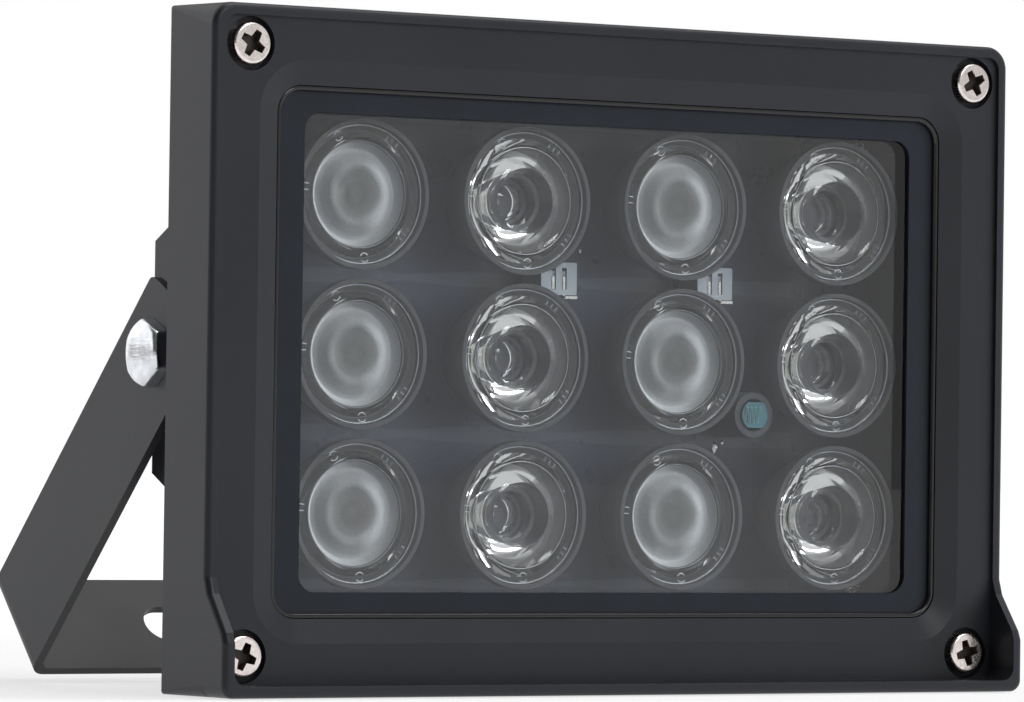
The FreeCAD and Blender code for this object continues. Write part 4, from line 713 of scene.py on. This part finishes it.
class ILLUMINATOR_OT_lenses(bpy.types.Operator):
    """Make the lenses, their holders and the emitters"""
    bl_idname = "illuminator.lenses"
    bl_label = "Lenses"

    def execute(self, context):
        look = settings(context).lenses
        numbers = range(1, LENS_COUNT + 1)
        holder, tree, shader = glass_material("holder_plastic", look.holder_colour, rough=0.3,
                                              behind=(0.55, 0.56, 0.6, 1.0), IOR=1.49)
        shader.inputs["Transmission Weight"].default_value = 0.8
        finish_nodes(holder, *[f"lens_holder_{n}" for n in numbers])
        silicone = moulded_material("emitter_silicone", (0.85, 0.85, 0.75), rough=0.25, mottle=0.17)
        finish_nodes(silicone, *[f"led_emitter_{n}" for n in numbers])
        clear = glass_material("clear_plastic", look.clear_tint, IOR=1.49)[0]
        satin, tree, shader = glass_material("satin_face", look.clear_tint, rough=0.04, IOR=1.49)
        shader.inputs["Transmission Weight"].default_value = 0.97
        frosted, tree, shader = glass_material("frosted_face_with_painted_light", look.frost_tint, rough=look.frost,
                                               behind=(0.8, 0.8, 0.8, 1.0), IOR=1.49)
        shader.inputs["Transmission Weight"].default_value = 0.66
        # The tone is painted light: it darkens the frosted face's colour to paint a dark middle, a bright rim and a
        # highlight at the right.
        tone = add(tree, "ShaderNodeAttribute", attribute_name="tone").outputs["Fac"]
        sand = add(tree, "ShaderNodeTexNoise", {"Vector": place_of(tree), "Scale": 4500.0, "Detail": 2.0})
        tone = calc(tree, "MULTIPLY", tone, ramp(tree, sand.outputs[0], 0.3, 0.7, 0.86, 1.1))
        tree.links.new(blend_colours(tree, tone, (0.0, 0.0, 0.0, 1.0), rgba(look.frost_tint)),
                       shader.inputs["Base Color"])
        # This pale material colours the flange marks and the rings that paint highlights on the lens edges.
        edge = moulded_material("flange_marks_and_highlight_rings", look.highlight_and_mark_colour, rough=0.2)
        marks, rings = [], []
        kinds = (("clear_lens", CLEAR_PROFILE, satin), ("frosted_lens", FROSTED_PROFILE, frosted))
        for kind, profile, face in kinds:
            rows = bent_profile(profile)
            rows[:, 1] = BOARD_FRONT - rows[:, 1]
            for n in range(1, LENS_COUNT // 2 + 1):
                node = f"{kind}_{n}"
                centre = node_middle(node) * (1.0, 0.0, 1.0)
                piece = new_piece(f"{node}_body", [revolved(rows, centre, steps=96)], clear, face)
                self.face_and_paint_light(piece, centre)
                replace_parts(piece, node)
                marks += self.flange_marks(centre)
                # Pale rings that paint highlights on the lens edges.
                rings += [self.highlight_ring(centre, *ring) for ring in LENS_HIGHLIGHT_RINGS[kind]]
        new_piece("lens_marks", marks, edge)
        new_piece("lens_highlight_rings", rings, edge)
        return {"FINISHED"}

    def highlight_ring(self, centre, radius, height, thick):
        """A fine round lip on the front of a lens, pale to paint a highlight on its edge: a small circle carried
        round the axis.
        """
        turn = np.linspace(0.0, 2 * math.pi, 96, endpoint=False)
        level = np.full_like(turn, BOARD_FRONT - height)
        path = np.stack([radius * np.cos(turn), level, radius * np.sin(turn)], -1)
        return tube(path + centre, thick, steps=8, closed=True)

    def face_and_paint_light(self, piece, centre):
        """Gives the second material to the lens's front face, near the axis and near the front, and painted light
        as a tone by radius that darkens the face, which passes from the first column to the second over a painted
        highlight lobe at the right."""
        mesh = piece.data
        middles = np.empty(len(mesh.polygons) * 3)
        mesh.polygons.foreach_get("center", middles)
        place = middles.reshape(-1, 3) / MM - HEAD - centre
        radius = np.hypot(place[:, 0], place[:, 2])
        front = (radius < FACE_RADIUS) & (place[:, 1] < FACE_FRONT)
        mesh.polygons.foreach_set("material_index", front.astype(np.int32))
        points = np.empty(len(mesh.vertices) * 3)
        mesh.vertices.foreach_get("co", points)
        place = points.reshape(-1, 3) / MM - HEAD - centre
        radius = np.hypot(place[:, 0], place[:, 2])
        # Painted light: the lobe paints a highlight on the right side of the face.
        sideways = place[:, 0] / np.maximum(radius, 0.1)
        highlight_lobe = np.clip((sideways - HIGHLIGHT_LOBE_START) / (HIGHLIGHT_LOBE_FULL - HIGHLIGHT_LOBE_START), 0.0, 1.0)
        left, right = (np.interp(radius, FACE_PAINTED_LIGHT[:, 0], FACE_PAINTED_LIGHT[:, i]) for i in (1, 2))
        tone = left + (right - left) * highlight_lobe
        mesh.attributes.new("tone", "FLOAT", "POINT").data.foreach_set("value", tone)

    def flange_marks(self, centre):
        """Moulding marks on the flange: two small rings, each of two open arcs, and pairs of short ticks."""
        level = BOARD_FRONT - LENS_FLANGE[0][1]
        parts = []
        for turn, half in ((2.02, 0), (2.02, 1), (-1.5, 0), (-1.5, 1)):
            arc = np.linspace(-1.1, 1.1, 9) + turn + half * math.pi
            middle = MARK_PLACE * np.array([math.cos(turn), 0.0, math.sin(turn)])
            height = np.full_like(arc, level)
            ring = np.stack([MARK_RADIUS * np.cos(arc), height, MARK_RADIUS * np.sin(arc)], -1)
            parts.append(tube(ring + middle + centre, 0.1, steps=6))
        for turn in TICK_TURNS:
            reach = np.linspace(*TICK_REACH, 3)
            tick = np.stack([reach * math.cos(turn), np.full_like(reach, level), reach * math.sin(turn)], -1)
            parts.append(tube(tick + centre, 0.09, steps=6))
        return parts


# Copper bands on the lamp board: height of the middle line, half-width where it swells, and left end.
TRACKS = [(67.9, 1.2, -62.5), (42.2, 1.35, -62.5), (17.6, 0.9, -62.5), (93.8, 0.55, -62.5)]
TRACK_END = 45.5
COLUMN_PITCH = 31.1
# Solder spots on the board: x, height, half-width and half-height.
SPOTS = [(30.1, 40.7, 0.75, 1.1), (31.6, 41.6, 0.5, 0.5), (2.4, 73.2, 0.35, 0.5), (-31.0, 78.9, 0.3, 0.3)]
SPOT_LIFT = 0.35


class ILLUMINATOR_OT_board(bpy.types.Operator):
    """Coat the lamp board, and lay its copper bands and solder spots"""
    bl_idname = "illuminator.board"
    bl_label = "Lamp board"

    def execute(self, context):
        look = settings(context).board
        finish_nodes(moulded_material("board_mask", look.mask_colour, rough=0.3, mottle=0.03),
                     "led_board", "driver_board")
        copper = moulded_material("track_mask", look.track_colour, rough=0.3, mottle=0.05)
        new_piece("board_tracks", [self.band(*track) for track in TRACKS], copper)
        solder = plated_material("solder_metal", settings(context).metal.solder_colour, rough=0.2)
        new_piece("solder_spots", [self.spot(*spot) for spot in SPOTS], solder)
        return {"FINISHED"}

    def band(self, middle, swell, left):
        """A thin strip along X. Its half-width is a third of the swell between two lens columns and grows to
        the swell at each column, as the sine of x over the column pitch. At the right it stays wide."""
        x = np.linspace(left, TRACK_END, 160)
        wide = np.where(x > COLUMN_PITCH / 2, 1.0, np.abs(np.sin(math.pi * x / COLUMN_PITCH)) ** 0.7)
        half = swell * (0.33 + 0.67 * wide)
        low, high = BOARD_FRONT - 0.06, BOARD_FRONT + 0.04
        around = [(low, -half), (low, half), (high, half), (high, -half)]
        rings = np.stack([np.stack([x, np.full_like(x, y), middle + reach], -1) for y, reach in around], 1)
        return lofted(rings)

    def spot(self, x, z, wide, high):
        """A flat drop of solder: half an ellipsoid on the board."""
        lift = np.linspace(0.0, math.pi / 2, 7)
        points, faces = revolved(np.stack([np.cos(lift), -np.sin(lift)], -1), (0.0, 0.0, 0.0), steps=20)
        return points * (wide, SPOT_LIFT, high) + (x, BOARD_FRONT, z), faces


class ILLUMINATOR_OT_plugs(bpy.types.Operator):
    """Make the plug connectors' pins and tails, and the light sensor's track"""
    bl_idname = "illuminator.plugs"
    bl_label = "Plugs and sensor"

    def execute(self, context):
        look = settings(context).board
        nylon = moulded_material("plug_nylon", look.plug_colour, rough=0.45)
        finish_nodes(nylon, "lamp_connector", "sensor_connector")
        tinned = plated_material("pin_tin", settings(context).metal.solder_colour, rough=0.25)
        new_piece("plug_pins", self.pins("lamp_connector") + self.pins("sensor_connector"), tinned)
        new_piece("plug_floors", self.floors("lamp_connector") + self.floors("sensor_connector"), nylon)
        face = moulded_material("sensor_face", look.sensor_colour, rough=0.3, mottle=0.15, Coat_Weight=1.0,
                                Coat_Roughness=0.04)
        finish_nodes(face, "light_sensor")
        track = moulded_material("sensor_track", look.wire_colour, rough=0.3)
        new_piece("sensor_zigzag", [self.zigzag()], track)
        finish_nodes(moulded_material("sleeve_plastic", look.sleeve_colour, rough=0.35), "sensor_sleeve")
        return {"FINISHED"}

    def pins(self, node):
        """A flat pin in the lower half of each slot; the right one goes on below the body and turns right."""
        low, high = (np.array(corner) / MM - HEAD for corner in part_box(node))
        x, y, z = (low[0] + high[0]) / 2, low[1], (low[2] + high[2]) / 2
        half = PIN_WIDTH / 2
        parts = [block((x + side - half, y + 0.05, z - 1.75), (x + side + half, y + 0.45, z + 0.35))
                 for side in (-PIN_PITCH / 2, PIN_PITCH / 2)]
        side = x + PIN_PITCH / 2
        parts.append(block((side - half, y + 0.02, low[2] - 0.55), (side + half, y + 0.3, z - 1.7)))
        parts.append(block((side - half, y + 0.02, low[2] - 0.6), (side + 2.6, y + 0.9, low[2] - 0.15)))
        return parts

    def floors(self, node):
        """A step in each slot, a little behind the plug's face."""
        low, high = (np.array(corner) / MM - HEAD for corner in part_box(node))
        x, y, z = (low[0] + high[0]) / 2, low[1], (low[2] + high[2]) / 2
        half = SLOT_WIDTH / 2
        return [block((x + side - half, y + 0.35, z - 1.79), (x + side + half, y + 2.59, z + 1.3))
                for side in (-PIN_PITCH / 2, PIN_PITCH / 2)]

    def zigzag(self):
        """The sensor's track: a wave whose crests are cut off flat, drawn as a fine raised wire."""
        low, high = (np.array(corner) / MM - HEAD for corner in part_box("light_sensor"))
        share = np.linspace(0.0, 1.0, 241)
        start, length, swing, waves = 0.75, 2.9, 1.25, 3.5
        x = low[0] + start + length * share
        z = SENSOR_MIDDLE + swing * np.clip(3.0 * np.sin(share * 2 * math.pi * waves), -1.0, 1.0)
        return tube(np.stack([x, np.full_like(x, low[1] - 0.02), z], -1), 0.13, steps=8)


# Bolt head, from its foot to the middle of its crown: distance from the crown, size, and how round it is.
BOLT_HEAD = np.array([
    (3.1, 1.0, 0.25), (1.5, 1.0, 0.3), (0.95, 0.995, 0.45), (0.7, 0.97, 0.65), (0.55, 0.93, 0.8),
    (0.42, 0.87, 0.9), (0.3, 0.75, 1.0), (0.17, 0.55, 1.0), (0.06, 0.3, 1.0), (0.0, 0.06, 1.0),
])
BOLT_FLAT, BOLT_TURN = 5.0, math.radians(35.0)
BOLT_SHANK, SHANK_CHAMFER = 3.0, 0.5


class ILLUMINATOR_OT_fasteners(bpy.types.Operator):
    """Plate the screws, finish the washers in fibre, and make the pivot bolts"""
    bl_idname = "illuminator.fasteners"
    bl_label = "Fasteners"

    def execute(self, context):
        look = settings(context).metal
        # The cover screws' cross recesses are painted dark as painted shade.
        finish_nodes(plated_material("screw_nickel", look.screw_colour, rough=0.2, recess_shade=self.recess),
                     "cover_screws")
        finish_nodes(plated_material("small_screw_nickel", look.screw_colour, rough=0.2), "board_screws")
        zinc = plated_material("bolt_zinc", look.bolt_colour, rough=0.13, depth=0.00004)
        for side, node in ((-1, "pivot_bolt_left"), (1, "pivot_bolt_right")):
            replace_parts(new_piece(node + "_zinc", [self.bolt(side, node)], zinc), node)
        finish_nodes(moulded_material("washer_fibre", (0.03, 0.03, 0.032), rough=0.6), "friction_washers")
        return {"FINISHED"}

    def bolt(self, side, node):
        """A hexagon bolt along X. Each ring of the head runs at a radius between a hexagon's, which is its flat
        over the cosine of the angle from the flat's middle, and a circle's; the shank's rings are circles."""
        low, high = (np.array(corner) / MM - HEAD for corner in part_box(node))
        crown, tip = (high[0], low[0]) if side > 0 else (low[0], high[0])
        turn = np.linspace(0.0, 2 * math.pi, 96, endpoint=False)
        flat_angle = np.mod(turn + BOLT_TURN, math.pi / 3) - math.pi / 6
        hexagon = BOLT_FLAT / np.cos(flat_angle)
        away, size, roundness = BOLT_HEAD.T[:, :, None]
        head = size * ((1 - roundness) * hexagon + roundness * BOLT_FLAT * 1.06)
        shank_x = np.array([away[0, 0], abs(tip - crown) - SHANK_CHAMFER, abs(tip - crown)])[::-1]
        shank = np.array([BOLT_SHANK, BOLT_SHANK, BOLT_SHANK - SHANK_CHAMFER])[::-1, None] + 0.0 * turn
        radius = np.concatenate([shank, head])
        x = crown - side * np.concatenate([shank_x, away[:, 0]])
        y = (low[1] + high[1]) / 2 + radius * np.cos(turn)
        z = (low[2] + high[2]) / 2 + radius * np.sin(turn)
        return lofted(np.stack([np.repeat(x[:, None], len(turn), axis=1), y, z], -1))

    def recess(self, tree, point):
        """Painted shade in the cross recess: within reach of a screw's axis and deeper than the head's face."""
        place = add(tree, "ShaderNodeSeparateXYZ", {0: point})
        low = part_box("cover_screws")[0]
        aside = calc(tree, "SUBTRACT", calc(tree, "ABSOLUTE", place.outputs["X"]), SCREW_SIDE * MM)
        level = calc(tree, "SUBTRACT", place.outputs["Z"], (COVER_MIDDLE + HEAD[2]) * MM)
        above = calc(tree, "SUBTRACT", calc(tree, "ABSOLUTE", level), SCREW_RISE * MM)
        radius = calc(tree, "SQRT", calc(tree, "ADD", calc(tree, "MULTIPLY", aside, aside),
                                         calc(tree, "MULTIPLY", above, above)))
        near = ramp(tree, radius, 2.6 * MM, 2.5 * MM)
        deep = ramp(tree, place.outputs["Y"], low.y + 0.1 * MM, low.y + 0.35 * MM)
        return calc(tree, "MULTIPLY", near, deep)


class ILLUMINATOR_OT_driver(bpy.types.Operator):
    """Finish the driver's parts and the cable gland"""
    bl_idname = "illuminator.driver"
    bl_label = "Driver and gland"

    def execute(self, context):
        finish_nodes(moulded_material("choke_ferrite", (0.06, 0.06, 0.065), rough=0.6), "driver_choke")
        finish_nodes(plated_material("capacitor_can", (0.75, 0.76, 0.78), rough=0.3), "driver_capacitor")
        finish_nodes(moulded_material("chip_epoxy", (0.02, 0.02, 0.02), rough=0.5), "driver_chip")
        nylon = moulded_material("gland_nylon", (0.022, 0.022, 0.024), rough=0.42)
        finish_nodes(nylon, "gland_body", "gland_nut")
        return {"FINISHED"}


# ---------------------------------------------------------------- panel and registration

MAKERS = (ILLUMINATOR_OT_stage, ILLUMINATOR_OT_castings, ILLUMINATOR_OT_window, ILLUMINATOR_OT_lenses,
          ILLUMINATOR_OT_board, ILLUMINATOR_OT_plugs, ILLUMINATOR_OT_fasteners, ILLUMINATOR_OT_driver)
LOOKS = (CoatLook, WindowLook, LensLook, BoardLook, MetalLook, StageLook)


class ILLUMINATOR_PT_sidebar(bpy.types.Panel):
    """Lists the makers and their settings"""
    bl_idname = "ILLUMINATOR_PT_sidebar"
    bl_label = "Illuminator"
    bl_space_type = "VIEW_3D"
    bl_region_type = "UI"
    bl_category = "Illuminator"

    def draw(self, context):
        for maker in MAKERS:
            self.layout.operator(maker.bl_idname)
        for look in (getattr(settings(context), name) for name in IlluminatorSettings.__annotations__):
            box = self.layout.box()
            for name in type(look).__annotations__:
                box.prop(look, name)


CLASSES = (*LOOKS, IlluminatorSettings, *MAKERS, ILLUMINATOR_PT_sidebar)


def register():
    for kind in CLASSES:
        bpy.utils.register_class(kind)
    bpy.types.Scene.illuminator = bpy.props.PointerProperty(type=IlluminatorSettings)


def unregister():
    del bpy.types.Scene.illuminator
    for kind in reversed(CLASSES):
        bpy.utils.unregister_class(kind)


def main():
    """Builds everything in order."""
    register()
    for maker in MAKERS:
        group, name = maker.bl_idname.split(".")
        getattr(getattr(bpy.ops, group), name)()


if __name__ == "__main__":
    main()
